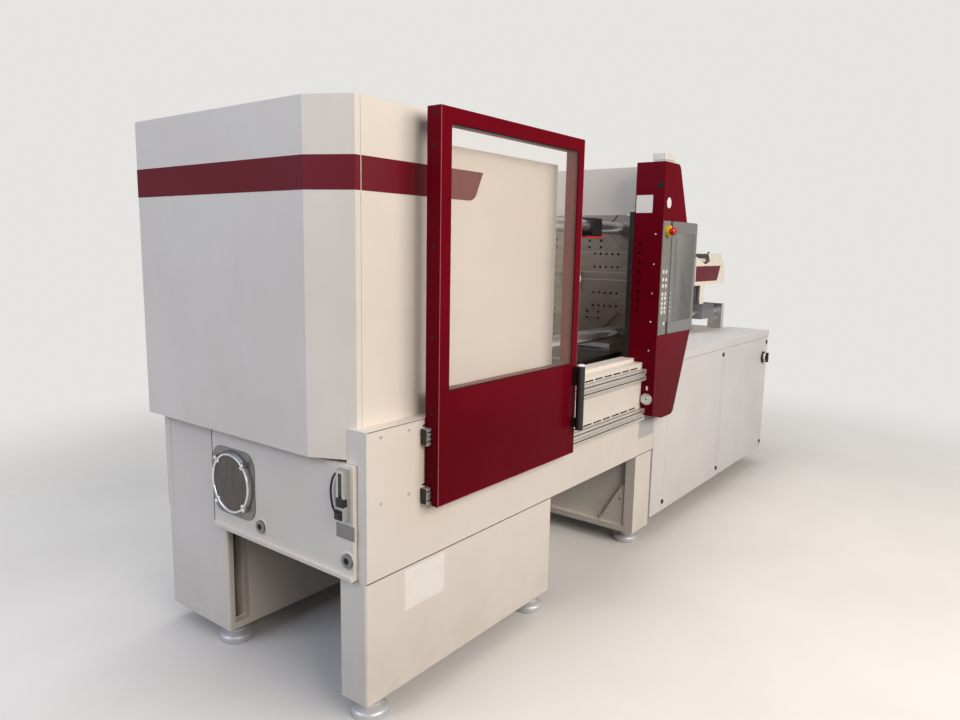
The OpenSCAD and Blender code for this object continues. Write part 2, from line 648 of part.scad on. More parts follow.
// Length of the ram that stays guided when the clamp is closed
ram_guide = 358;
module clamp_ram() at_machine() color("silver") {
    rod_x(moving_back - 24, moving_back, axis_y, axis_z, ram_d + 60);
    rod_x(moving_back - 24 - ram_guide - clamp_stroke, moving_back - 24, axis_y, axis_z, ram_d);
}
module ejector() at_machine() color("dimgray") {
    x = moving_x - 60 - eject_stroke - 22;
    box(x, x + 20, axis_y - 100, axis_y + 100, axis_z - 60, axis_z + 60);
    rod_x(x + 20, moving_x - 12, axis_y, axis_z, 50);
}
module fixed_platen() at_machine() color("darkgray") difference() {
    union() {
        platen_block(fixed_x, fixed_back, 60);
        for (s = [-1, 1]) box(fixed_x + 20, fixed_back, axis_y + s * way_y - 90, axis_y + s * way_y + 60, bed_top - sheet, axis_z - platen_h / 2 + 60);
    }
    four_bars() translate([fixed_x - 1, 0, 0]) rotate([0, 90, 0]) cylinder(d = tie_d, h = fixed_t + 2);
    // the mould face stops short of the bars on a slanted line
    four_bars() translate([fixed_x + 3, 0, 0]) rotate([45, 0, 0]) cube([10, tie_d * 2.3, tie_d * 2.3], center = true);
    bolt_grid(fixed_x - 1, fixed_x + bolt_deep);
    rod_x(fixed_x - 1, fixed_x + 30, axis_y, axis_z, locating_d);
    translate([fixed_x + 29, axis_y, axis_z]) rotate([0, 90, 0]) cylinder(d1 = 80, d2 = 220, h = fixed_t - 28);
}

module platen_cover() at_machine() color("linen") {
    z0 = axis_z + platen_h / 2;
    z1 = col_top - 2;
    y0 = col_back + 30;
    y1 = bed_rear - 20;
    box(fixed_x, fixed_x + sheet, y0, y1, z0 + seat, z1);
    box(fixed_x, fixed_back, y0, y1, z1 - sheet, z1);
    box(fixed_x, fixed_back, y0, y0 + sheet, z0 + seat, z1);
    box(fixed_x, fixed_back, y1 - sheet, y1, z0 + seat, z1);
    // brackets down to the platen
    for (y = [axis_y - 260, axis_y + 220]) box(fixed_x + 30, fixed_x + 36, y, y + 40, z0, z1 - sheet);
}

// Column outline in X and Z: upright left edge, belly at the display, tapered and rounded foot
col_r = col_x + col_w;
col_outline = concat([[col_x, col_bottom + 26], [col_x, col_top]],
    arc(col_x + 150, col_top - 40, 40, 90, 22, 5),
    [[col_x + 300, display_z + display_h + 2], [col_r, display_z - 4]],
    arc(col_x + 222, col_bottom + 44, 44, -20, -90, 5), [[col_x + 110, col_bottom]]);
module control_column() at_machine() color("maroon") difference() {
    union() {
        across(col_front, bed_y - 2, col_outline);
        box(col_x, col_x + 260, bed_y - 2, col_back, bed_top + 20, col_top);
        box(col_x, col_x + 130, bed_y - 2, 52, bed_top, bed_top + 20);
    }
    // service holes in the left face
    for (i = [0:7]) rod_x(col_x - 1, col_x + 14, col_back - 35, 1252 + i * 47.9, 17);
    rod_x(col_x - 1, col_x + 12, col_front + 21, col_top - 116, 26);
    rod_x(col_x - 1, col_x + 8, col_front + 36, col_bottom + 111, 50);
}
module column_seal() at_machine() color("black")
    box(col_x - 6, col_x + 60, col_back, col_back + 24, bed_top + 20, axis_z + platen_h / 2 + 6);

disp_x1 = col_x + 426;
disp_x0 = disp_x1 - display_w;
disp_z0 = display_z;
disp_z1 = disp_z0 + display_h;
module operating_panel() at_machine() color("gray") {
    box(col_x + 3, disp_x0 - 15, key_front, col_front, disp_z0, disp_z1);
    // key caps of the membrane panel, in two columns
    for (z = [113, 135, 158, 183, 205, 245, 275.5, 315], c = [0, 1])
        box(col_x + 20 + c * 35, col_x + 38 + c * 35, key_front - 1, key_front + 1, disp_z0 + z - 8, disp_z0 + z + 8);
    box(col_x + 55, col_x + 73, key_front - 1, key_front + 1, disp_z0 + 46, disp_z0 + 66);
}
module touch_display() at_machine() color("darkslategray") difference() {
    across(panel_front, col_front, round_box(disp_x0, disp_x1, disp_z0, disp_z1, 10));
    box(disp_x0 + 44, disp_x1 - 26, panel_front - 1, panel_front + 1.5, disp_z0 + 56, disp_z1 - 54);
}
stop_x = col_x + 49;
stop_z = 1648;
module stop_base() at_machine() color("gold") difference() {
    rod_y(stop_x, stop_y, key_front, stop_z, 56);
    rod_y(stop_x, stop_y - 1, stop_y + 14.2, stop_z, 22.1);
}
module stop_head() at_machine() color("red") {
    translate([stop_x, stop_y - stop_travel - 1, stop_z]) rotate([90, 0, 0]) rotate_extrude()
        polygon([[0, 0], [15, 0], [stop_d / 2, 8], [stop_d / 2, 18], [stop_d / 2 - 4, 22], [8, 25], [0, 25]]);
    rod_y(stop_x, stop_y - stop_travel - 1, stop_y + 8, stop_z, 22);
}
lamp_h = 30;
module signal_lamp() at_machine() {
    color("black") box(col_x + 5, col_x + 119, col_front + 5, col_front + 67, col_top, col_top + 8);
    color("white") translate([0, 0, col_top + 8]) linear_extrude(height = lamp_h) polygon(
        round_box(col_x + 1, col_x + 123, col_front + 1, col_front + 71, 5));
}
module column_socket() at_machine() color("lightgray") translate([col_x + 8, col_front + 36, col_bottom + 111])
    rotate([0, -90, 0]) rotate_extrude() polygon([[0, 0], [24.7, 0], [24.7, 8], [30, 8], [30, 16], [26, 19], [22, 14], [0, 14]]);

bar_z = 1128;
bar_dy = 175;
carriage_bar_d = 50;
carriage_x0 = throat_x - 75;
carriage_x1 = carriage_x0 + 230;
rest_x1 = inj_end - 14;
inj_z = axis_z;
piston_d = 130;
piston_x = carriage_x0 + 190;
// Sheet deck over the injection end of the bed
module injection_deck() at_machine() color("ivory") {
    y0 = bed_y + cab_d + 6;
    box(fixed_back + 12, cab_end - 50, y0, bed_y + bed_rear - 24 - seam, bed_top - sheet, bed_top);
    box(fixed_back + 12, cab_end - 50, y0, y0 + sheet, bed_top - 60, bed_top);
}
module carriage_bars() at_machine() color("silver") {
    for (s = [-1, 1]) rod_x(fixed_back, rest_x1, axis_y + s * bar_dy, bar_z, carriage_bar_d);
    color("lightslategray") for (s = [-1, 1]) difference() {
        box(rest_x1 - 60, rest_x1 - 10, axis_y + s * bar_dy - 50, axis_y + s * bar_dy + 50, bed_top, bar_z + 45);
        rod_x(rest_x1 - 61, rest_x1, axis_y + s * bar_dy, bar_z, carriage_bar_d);
    }
}
module injection_carriage() at_machine() color("lightslategray") difference() {
    union() {
        box(carriage_x0, carriage_x1, axis_y - 225, axis_y + 225, bar_z - 45, bar_z + 60);
        box(carriage_x0, carriage_x0 + 150, axis_y - 115, axis_y + 115, bar_z + 60, inj_z + 70);
        rod_x(carriage_x0 + 150, rest_x1 - 20, axis_y, inj_z, piston_d + 30);
        box(carriage_x1 - 40, carriage_x1, axis_y - 115, axis_y + 115, bar_z + 60, inj_z);
        // hydraulic motor flange and oil ports
        rod_x(rest_x1 - 20, rest_x1 - 8, axis_y, inj_z, 106);
        for (x = [carriage_x1 + 20, rest_x1 - 110]) rod_z(x, axis_y, inj_z + piston_d / 2 + 5, inj_z + 96, 34);
    }
    for (s = [-1, 1]) rod_x(carriage_x0 - 1, carriage_x1 + 1, axis_y + s * bar_dy, bar_z, carriage_bar_d + 0.1);
    rod_x(carriage_x0 - 1, carriage_x0 + 151, axis_y, inj_z, barrel_d);
    rod_x(carriage_x0 + 149, piston_x + 46 + screw_stroke + 39, axis_y, inj_z, piston_d);
    translate([throat_x, axis_y, inj_z]) cylinder(d = 46, h = 80);
}
noz_x = fixed_x + 70 + carriage_stroke;
band_n = 7;
band_pitch = (carriage_x0 - noz_x - 150) / band_n;
module barrel() at_machine() {
    color("darkgray") difference() {
        translate([noz_x, axis_y, inj_z]) rotate([0, 90, 0]) rotate_extrude(convexity = 4)
            polygon([[0, 0], [16, 0], [20, 12], [20, 60], [barrel_d / 2 - 12, 60], [barrel_d / 2 - 12, 90],
                [barrel_d / 2, 90], [barrel_d / 2, carriage_x0 + 150 - noz_x], [0, carriage_x0 + 150 - noz_x]]);
        rod_x(noz_x + 70, carriage_x0 + 151, axis_y, inj_z, screw_d + 0.1);
        rod_x(noz_x - 1, noz_x + 71, axis_y, inj_z, 6);
        translate([throat_x, axis_y, inj_z]) cylinder(d = 46, h = 80);
    }
    color("silver") for (i = [0:band_n - 1]) difference() {
        x = noz_x + 110 + i * band_pitch;
        rod_x(x, x + band_pitch - 22, axis_y, inj_z, barrel_d + 16);
        rod_x(x - 1, x + band_pitch, axis_y, inj_z, barrel_d);
    }
}
// Piston that pushes the screw, turning inside it on the same axis
module injection_piston() at_machine() color("silver")
    rod_x(piston_x, piston_x + 46, axis_y, inj_z, piston_d - 0.1);
module screw() at_machine() color("silver") {
    x0 = noz_x + 100;
    core = screw_d * 0.62;
    translate([x0 - 26, axis_y, inj_z]) rotate([0, 90, 0]) cylinder(d1 = 8, d2 = core, h = 26);
    rod_x(x0, piston_x, axis_y, inj_z, core);
    // flight lands set at the screw's lead
    for (x = [x0 + 10:screw_d:carriage_x0 + 140]) rod_x(x, x + 5, axis_y, inj_z, screw_d);
    rod_x(carriage_x0 + 156, piston_x, axis_y, inj_z, screw_d + 12);
}

// Sheet cover over the injection drive: straight sides, slanted rear and a notch at the feed throat
module injection_cover() at_machine() color("white") {
    x0 = throat_x - 165;
    z0 = axis_z - 73;
    outline = [[x0, z0], [x0, inj_top], [inj_end - 94, inj_top], [inj_end - 8, inj_top - 84], [inj_end, z0 + 4]];
    inner = [[x0 + sheet, z0 - 1], [x0 + sheet, inj_top - sheet], [inj_end - 96, inj_top - sheet],
        [inj_end - 11, inj_top - 86], [inj_end - 3, z0 - 1]];
    difference() {
        across(inj_y, inj_y + inj_w, outline);
        across(inj_y + sheet, inj_y + inj_w - sheet, inner);
        across(inj_y - 1, inj_y + inj_w + 1, [[x0 - 1, inj_top + 1], [x0 - 1, inj_top - 22],
            [throat_x + 9, inj_top - 77], [throat_x + 90, inj_top - 55], [throat_x + 52, inj_top + 1]]);
        box(x0 - 1, x0 + 10, axis_y - 70, axis_y + 70, z0 - 2, inj_z + 70);
    }
    // mounting angles down to the carriage
    for (y = [inj_y + sheet, inj_y + inj_w - sheet - 4])
        box(carriage_x0 + 20, carriage_x0 + 90, y, y + 4, bar_z + 60, z0 + 40);
}

door_face = bed_y;
cab_front = bed_y + 22;
cab_top = bed_top - lid_h;
latch_d = 18;
// The narrow end passes in front of the fixed platen's foot
strip_back = bed_y + sheet + beam_w - 9;
module cabinet_body() at_machine() color("white") {
    z0 = cab_bottom;
    x1 = cab_x + strip_w;
    difference() {
        union() {
            box(cab_x, x1 + 20, cab_front, strip_back, z0, cab_top);
            box(x1, cab_end, cab_front, bed_y + cab_d, z0, cab_top);
        }
        box(cab_x + sheet, x1 + 20, cab_front + sheet, strip_back - sheet, z0 + sheet, cab_top - sheet);
        box(x1 + sheet, cab_end - sheet, cab_front + sheet, bed_y + cab_d - sheet, z0 + sheet, cab_top - sheet);
        box(x1 + 10, cab_end - 20, cab_front - 1, cab_front + sheet + 1, z0 + 20, cab_top - 20);
        rod_y(x1 - 14, cab_front - 1, cab_front + sheet + 1, z0 + 52, latch_d + 8);
    }
    // post between the two doors
    box(cab_split - 12, cab_split + 12, cab_front, cab_front + sheet, z0 + 20, cab_top - 20);
    // fixed strip, folded at its edges
    difference() {
        box(cab_x, x1 - 2, door_face, cab_front, z0, cab_top);
        box(cab_x + sheet, x1 - 2 - sheet, door_face + sheet, cab_front + 1, z0 + sheet, cab_top - sheet);
        rod_y(x1 - 14, door_face - 1, door_face + sheet + 1, z0 + 52, latch_d + 0.1);
    }
    // plinth feet set back under the cabinet
    for (x = [cab_x + 60, cab_end - 160]) box(x, x + 100, cab_front + 60, bed_y + cab_d - 40, z0 - 24, z0);
}
module cabinet_lid() at_machine() color("white") difference() {
    box(cab_x - 4, reach_x, door_face - 2, bed_y + cab_d + 4, cab_top + 0.5, bed_top);
    box(cab_x, cab_end + 1, door_face + 1, strip_back + 1, cab_top - 1, bed_top - sheet);
    box(cab_x + strip_w, cab_end + 1, door_face + 1, bed_y + cab_d, cab_top - 1, bed_top - sheet);
    box(cab_x - 5, cab_x + strip_w - 4, strip_back + 5, bed_y + cab_d + 5, cab_top - 1, bed_top + 1);
}
module cabinet_panel(x0, x1) difference() {
    box(x0, x1, door_face, cab_front - seat, cab_bottom, cab_top - 2);
    box(x0 + sheet, x1 - sheet, door_face + sheet, cab_front + 1, cab_bottom + sheet, cab_top - 2 - sheet);
    for (z = [latch_low, latch_high]) rod_y(x1 - 28, door_face - 1, door_face + sheet + 1, z, latch_d + 0.1);
}
latch_low = cab_bottom + 52;
latch_high = cab_top - 40;
// Quarter-turn latch: slotted head, shaft through the sheet and a cam behind the frame
module latch(x, z, back, reach) at_machine() color("black") {
    difference() {
        rod_y(x, door_face - 5, door_face - seat, z, 26);
        box(x - 8, x + 8, door_face - 6, door_face - 3, z - 1.5, z + 1.5);
    }
    rod_y(x, door_face - seat, back, z, latch_d);
    box(x - 9, x + 9, back - 3, back, z - reach, z + 9);
}
cam_y = cab_front + sheet + 4;
module cabinet_door_left() at_machine() color("white") cabinet_panel(cab_x + strip_w, cab_split - 2);
module cabinet_door_right() at_machine() color("white") cabinet_panel(cab_split + 2, cab_end - 4);
module latch_left_top() latch(cab_split - 30, latch_high, cam_y, 26);
module latch_left_low() latch(cab_split - 30, latch_low, cam_y, 26);
module latch_right_top() latch(cab_end - 32, latch_high, cam_y, 22);
module latch_right_low() latch(cab_end - 32, latch_low, cam_y, 22);
module latch_strip() latch(cab_x + strip_w - 14, latch_low, cam_y, 20);
switch_x = cab_end - 98;
switch_z = 800;
module main_switch() at_machine() color("black") {
    rod_y(switch_x, door_face - 10, door_face - seat, switch_z, 84);
    rod_y(switch_x, door_face - 26, door_face - 9, switch_z, 40);
    box(switch_x - 9, switch_x + 9, door_face - 40, door_face - 25, switch_z - 34, switch_z + 34);
}

hood_end_cap();
hood_body();
colour_band();
mould_guards();
side_panels();
leg_boxes();
pedestals();
levelling_feet();
bed_beams();
cross_members();
oil_tank();
tank_panel();
tank_fittings();
level_gauge();
gauge_cable();
pump_set();
mould_ledge();
guard_rails();
door_frame_front();
door_window_front();
door_grip_front();
door_carriers_front();
door_frame_rear();
door_window_rear();
door_grip_rear();
door_carriers_rear();
cylinder_platen();
tie_bars();
bar_clamp();
clamp_ways();
moving_platen();
clamp_ram();
ejector();
fixed_platen();
platen_cover();
control_column();
column_seal();
operating_panel();
touch_display();
stop_base();
stop_head();
signal_lamp();
column_socket();
injection_deck();
carriage_bars();
injection_carriage();
barrel();
injection_piston();
screw();
injection_cover();
cabinet_body();
cabinet_lid();
cabinet_door_left();
cabinet_door_right();
latch_left_top();
latch_left_low();
latch_right_top();
latch_right_low();
latch_strip();
main_switch();
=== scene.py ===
import bpy
import numpy as np
from mathutils import Matrix, Vector


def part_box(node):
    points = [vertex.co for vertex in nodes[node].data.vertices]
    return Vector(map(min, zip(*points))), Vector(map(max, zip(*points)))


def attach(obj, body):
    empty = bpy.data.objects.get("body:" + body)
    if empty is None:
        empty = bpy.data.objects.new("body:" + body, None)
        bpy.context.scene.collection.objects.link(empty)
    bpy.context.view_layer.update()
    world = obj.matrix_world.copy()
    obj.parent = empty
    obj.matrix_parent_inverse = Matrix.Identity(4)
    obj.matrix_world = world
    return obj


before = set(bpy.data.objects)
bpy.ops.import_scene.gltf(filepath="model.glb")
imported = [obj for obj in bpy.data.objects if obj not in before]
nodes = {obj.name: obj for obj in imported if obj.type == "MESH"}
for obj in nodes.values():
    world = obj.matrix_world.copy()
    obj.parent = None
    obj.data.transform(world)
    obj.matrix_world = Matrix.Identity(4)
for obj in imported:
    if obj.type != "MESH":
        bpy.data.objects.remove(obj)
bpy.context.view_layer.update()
print("frame loaded:", len(nodes), "parts")

# Places are given in millimetres of the machine: x from the clamp end, y from the hood's operator side,
# z from the floor. The end cap's low corner is where that frame's zero lies in the row frame.
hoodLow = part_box("hood_end_cap")[0]
machineZero = np.array([hoodLow[0], hoodLow[1], 0.0])


def toRow(points):
    # machine millimetres to metres in the row frame
    return np.asarray(points, float) / 1000 + machineZero


def linearHex(code):
    # sRGB hex to linear: c/12.92 below 0.04045, else ((c + 0.055) / 1.055) to the power 2.4
    c = np.array([int(code[i:i + 2], 16) for i in (1, 3, 5)]) / 255
    return (*np.where(c <= 0.04045, c / 12.92, ((c + 0.055) / 1.055) ** 2.4), 1.0)


def perMetre(size):
    # scale of a noise whose patches are about this many millimetres wide
    return 1000.0 / size


def addNode(tree, kind, inputs=None, **settings):
    # one node with its settings, then its sockets: another node's output to link, a hex colour, or a value
    node = tree.nodes.new(kind)
    for key, value in settings.items():
        setattr(node, key, value)
    for key, value in (inputs or {}).items():
        if isinstance(value, bpy.types.NodeSocket):
            tree.links.new(value, node.inputs[key])
        else:
            node.inputs[key].default_value = linearHex(value) if isinstance(value, str) else value
    return node


def startMaterial(name, **sockets):
    # a Principled surface with its output and the object's own coordinates
    material = bpy.data.materials.new(name)
    material.use_nodes = True
    tree = material.node_tree
    tree.nodes.clear()
    values = {socket.replace("_", " "): value for socket, value in sockets.items()}
    shader = addNode(tree, "ShaderNodeBsdfPrincipled", values)
    addNode(tree, "ShaderNodeOutputMaterial", {"Surface": shader.outputs[0]})
    return material, tree, shader, addNode(tree, "ShaderNodeTexCoord").outputs["Object"]


def cloudy(tree, coords, size, stretch=(1, 1, 1), detail=3.0, rough=0.55, low=0.35, high=0.65):
    # cloudy 0 to 1 pattern with patches of this size in mm, longer along an axis where stretch is small
    mapped = addNode(tree, "ShaderNodeMapping", {"Vector": coords, "Scale": stretch}).outputs[0]
    pattern = {"Vector": mapped, "Scale": perMetre(size), "Detail": detail, "Roughness": rough}
    noise = addNode(tree, "ShaderNodeTexNoise", pattern).outputs["Fac"]
    return addNode(tree, "ShaderNodeMapRange", {"Value": noise, "From Min": low, "From Max": high}).outputs[0]


def overlaid(tree, base, colour, pattern, share=1.0):
    # a colour laid over the base by pattern times share: 0 leaves the base, 1 hides it
    factor = addNode(tree, "ShaderNodeMath", {0: pattern, 1: share}, operation="MULTIPLY").outputs[0]
    return addNode(tree, "ShaderNodeMix", {"Factor": factor, 6: base, 7: colour}, data_type="RGBA").outputs[2]


def setGloss(tree, shader, pattern, smooth, dull, film=None, change=0.0):
    # roughness: smooth to dull as the pattern goes from 0 to 1, plus change times the film that lies over it
    limits = {"Value": pattern, "To Min": smooth, "To Max": dull}
    gloss = addNode(tree, "ShaderNodeMapRange", limits).outputs[0]
    if film is not None:
        shift = addNode(tree, "ShaderNodeMath", {0: film, 1: change}, operation="MULTIPLY").outputs[0]
        gloss = addNode(tree, "ShaderNodeMath", {0: gloss, 1: shift}, operation="ADD").outputs[0]
    tree.links.new(gloss, shader.inputs["Roughness"])


def setRelief(tree, shader, *layers):
    # each layer is (height 0 to 1, its depth in mm); the depths add up along the chain
    normal = None
    for height, depth in layers:
        inputs = {"Height": height, "Distance": depth / 1000, "Strength": 1.0}
        if normal is not None:
            inputs["Normal"] = normal
        normal = addNode(tree, "ShaderNodeBump", inputs).outputs[0]
    tree.links.new(normal, shader.inputs["Normal"])


# paint: its colours, the sizes of its texture and wear in mm, and how strongly each shows (0 to 1)
paintLook = {
    "sheet": "#E2DBD2",                      # warm grey-white of the housings
    "sheetAged": "#D3C9BC",                  # where hands and years have yellowed it
    "dust": "#8B8178",                       # settled on the low parts
    "frame": "#77736F",                      # welded bed behind the covers, in a dark grey
    "maroon": "#71081A", "maroonDeep": "#54040F",
    "chip": "#3A3330",                       # where a knock has broken the paint
    "peelSize": 7.0, "peelDepth": 0.02,      # real orange peel is nearer 2 mm and would not show from here
    "waveSize": 420.0,                       # from one shallow wave of a large sheet to the next
    "patchSize": 380, "patchShare": 0.38,    # yellowed patches
    "runSize": 55, "runShare": 0.12,         # upright runs
    "smudgeSize": 90,                        # what breaks up the dust
    "rubSize": 26, "rubShare": 0.14,         # rubbed marks, seldom and faint
    "chipPitch": 170.0, "chipSize": 2.6, "chipShare": 0.75,
    "lowFrom": 1.15, "lowTo": 0.90,          # metres above the floor between which the painted shade of the low parts grows
}


def powderCoat(name, colour, aged, roughness, dustTop=0.5, dustAmount=0.22, specular=0.5, wave=0.4, chips=0.35,
               lowShade=0.0):
    # stoved powder coat on sheet steel: fine orange peel, shallow waves in the sheet, uneven gloss, faint
    # yellowing in patches, dust that thickens towards the floor, a few dark chips and a painted shade on the
    # low parts
    look = paintLook
    material, tree, shader, coords = startMaterial(name, Roughness=roughness, Specular_IOR_Level=specular)
    z = addNode(tree, "ShaderNodeSeparateXYZ", {0: coords}).outputs[2]
    patches = cloudy(tree, coords, look["patchSize"], detail=4)
    runs = cloudy(tree, coords, look["runSize"], stretch=(1, 1, 0.12), detail=3, low=0.50, high=0.80)
    tone = overlaid(tree, colour, aged, patches, look["patchShare"])
    tone = overlaid(tree, tone, aged, runs, look["runShare"])
    # painted shade on the low parts, standing in for the dark shop floor they face: none above lowFrom, full
    # share below lowTo
    limits = {"Value": z, "From Min": look["lowFrom"], "From Max": look["lowTo"]}
    lowShadeShare = addNode(tree, "ShaderNodeMapRange", limits).outputs[0]
    tone = overlaid(tree, tone, aged, lowShadeShare, lowShade)
    # dust: the square of a share that is 1 at the floor and 0 at dustTop metres, broken up by smudges
    low = addNode(tree, "ShaderNodeMapRange", {"Value": z, "From Min": dustTop, "From Max": 0.0}).outputs[0]
    low = addNode(tree, "ShaderNodeMath", {0: low, 1: 2.0}, operation="POWER").outputs[0]
    smudge = cloudy(tree, coords, look["smudgeSize"], detail=6, rough=0.65, low=0.30, high=0.72)
    settled = addNode(tree, "ShaderNodeMath", {0: low, 1: smudge}, operation="MULTIPLY").outputs[0]
    settled = addNode(tree, "ShaderNodeMath", {0: settled, 1: dustAmount}, operation="MULTIPLY").outputs[0]
    rubs = cloudy(tree, coords, look["rubSize"], detail=6, rough=0.7, low=0.69, high=0.82)
    rubs = addNode(tree, "ShaderNodeMath", {0: rubs, 1: look["rubShare"]}, operation="MULTIPLY").outputs[0]
    dust = addNode(tree, "ShaderNodeMath", {0: settled, 1: rubs}, operation="MAXIMUM").outputs[0]
    tone = overlaid(tree, tone, look["dust"], dust)
    # chips: a dot round the middle of some cells, distance under its size over the cell pitch
    cells = {"Vector": coords, "Scale": perMetre(look["chipPitch"])}
    cells = addNode(tree, "ShaderNodeTexVoronoi", cells).outputs
    dot = {0: cells["Distance"], 1: look["chipSize"] / look["chipPitch"]}
    dot = addNode(tree, "ShaderNodeMath", dot, operation="LESS_THAN").outputs[0]
    draw = addNode(tree, "ShaderNodeSeparateColor", {0: cells["Color"]}).outputs[0]
    some = addNode(tree, "ShaderNodeMath", {0: draw, 1: chips}, operation="LESS_THAN").outputs[0]
    chip = addNode(tree, "ShaderNodeMath", {0: dot, 1: some}, operation="MULTIPLY").outputs[0]
    tone = overlaid(tree, tone, look["chip"], chip, look["chipShare"])
    tree.links.new(tone, shader.inputs["Base Color"])
    setGloss(tree, shader, patches, roughness - 0.04, roughness + 0.05, dust, 0.35)
    peel = cloudy(tree, coords, look["peelSize"], detail=1, low=0.2, high=0.8)
    waves = cloudy(tree, coords, look["waveSize"], detail=0, low=0.2, high=0.8)
    setRelief(tree, shader, (waves, wave), (peel, look["peelDepth"]))
    return material


# bare metals: oil on milled faces, grease on ground and plated ones, sizes in mm; hairStretch says how a hair
# line lies, fine along x only so that it runs round a bar, or fine across and very long along x
metalLook = {
    "oil": "#4F4034", "oilSize": 240, "bandShare": 0.55, "fineShare": 0.22,
    "grease": "#5D5247", "greaseSize": 160, "hairShare": 0.35,
    "hairStretch": {"rings": (1.0, 0.01, 0.01), "along": (0.006, 1.0, 1.0)},
}


def machinedIron(name, colour, dark, roughness, passes, lines=3.0, metallic=0.6, oil=0.4):
    # milled cast iron: cutter passes lie in level bands across it, each a little lighter or darker, with fine
    # feed lines inside the band, and an oily brown film in patches
    look = metalLook
    material, tree, shader, coords = startMaterial(name, Metallic=metallic, Roughness=roughness)
    level = (0.02, 0.02, 1.0)
    bands = cloudy(tree, coords, passes, stretch=level, detail=1, low=0.42, high=0.58)
    fine = cloudy(tree, coords, lines, stretch=level, detail=2)
    film = cloudy(tree, coords, look["oilSize"], detail=2, rough=0.5, low=0.35, high=0.75)
    tone = overlaid(tree, colour, dark, bands, look["bandShare"])
    tone = overlaid(tree, tone, dark, fine, look["fineShare"])
    tone = overlaid(tree, tone, look["oil"], film, oil)
    tree.links.new(tone, shader.inputs["Base Color"])
    setGloss(tree, shader, bands, roughness - 0.08, roughness + 0.08, film, -0.12)
    setRelief(tree, shader, (bands, 0.10), (fine, 0.04))
    return material


def groundMetal(name, colour, dark, roughness, lineSize, axis, film=0.25, metallic=1.0):
    # ground, drawn or plated metal: hair lines in one direction, and a thin grease film that dulls it in places
    look = metalLook
    material, tree, shader, coords = startMaterial(name, Metallic=metallic, Roughness=roughness)
    hair = cloudy(tree, coords, lineSize, stretch=look["hairStretch"][axis], detail=3)
    grease = cloudy(tree, coords, look["greaseSize"], stretch=(0.5, 1, 1), detail=5, rough=0.6, low=0.42,
                    high=0.72)
    tone = overlaid(tree, colour, dark, hair, look["hairShare"])
    tone = overlaid(tree, tone, look["grease"], grease, film)
    tree.links.new(tone, shader.inputs["Base Color"])
    setGloss(tree, shader, hair, roughness - 0.03, roughness + 0.05, grease, 0.14)
    setRelief(tree, shader, (hair, 0.005))
    return material


# plastics: pale bloom where they are handled, wiping marks on the clear panes, sizes in mm
plasticLook = {"bloomSize": 45, "bloomShare": 0.5, "wipeSize": 30, "wipe": "#E8E4E0", "wipeShare": 0.4}


def mouldedPlastic(name, colour, worn, roughness, grain=1.6, depth=0.05, coat=0.0):
    # moulded plastic: spark-eroded grain of the tool, a paler bloom where it is handled
    look = plasticLook
    material, tree, shader, coords = startMaterial(name, Roughness=roughness, Coat_Weight=coat,
                                                   Coat_Roughness=0.06)
    bloom = cloudy(tree, coords, look["bloomSize"], detail=5, rough=0.6, low=0.45, high=0.75)
    tone = overlaid(tree, colour, worn, bloom, look["bloomShare"])
    tree.links.new(tone, shader.inputs["Base Color"])
    setGloss(tree, shader, bloom, roughness, roughness + 0.10)
    setRelief(tree, shader, (cloudy(tree, coords, grain, detail=2), depth))
    return material


def clearSheet(name, colour, roughness, ior, alpha):
    # polycarbonate pane: clear but for a thin pale veil, a painted reflection of the bright room, with fine
    # wiping marks in it
    look = plasticLook
    material, tree, shader, coords = startMaterial(name, Roughness=roughness, IOR=ior, Alpha=alpha)
    wipe = cloudy(tree, coords, look["wipeSize"], stretch=(0.2, 1, 1), detail=5, low=0.40, high=0.80)
    tone = overlaid(tree, colour, look["wipe"], wipe, look["wipeShare"])
    tree.links.new(tone, shader.inputs["Base Color"])
    setGloss(tree, shader, wipe, roughness, roughness + 0.05)
    return material


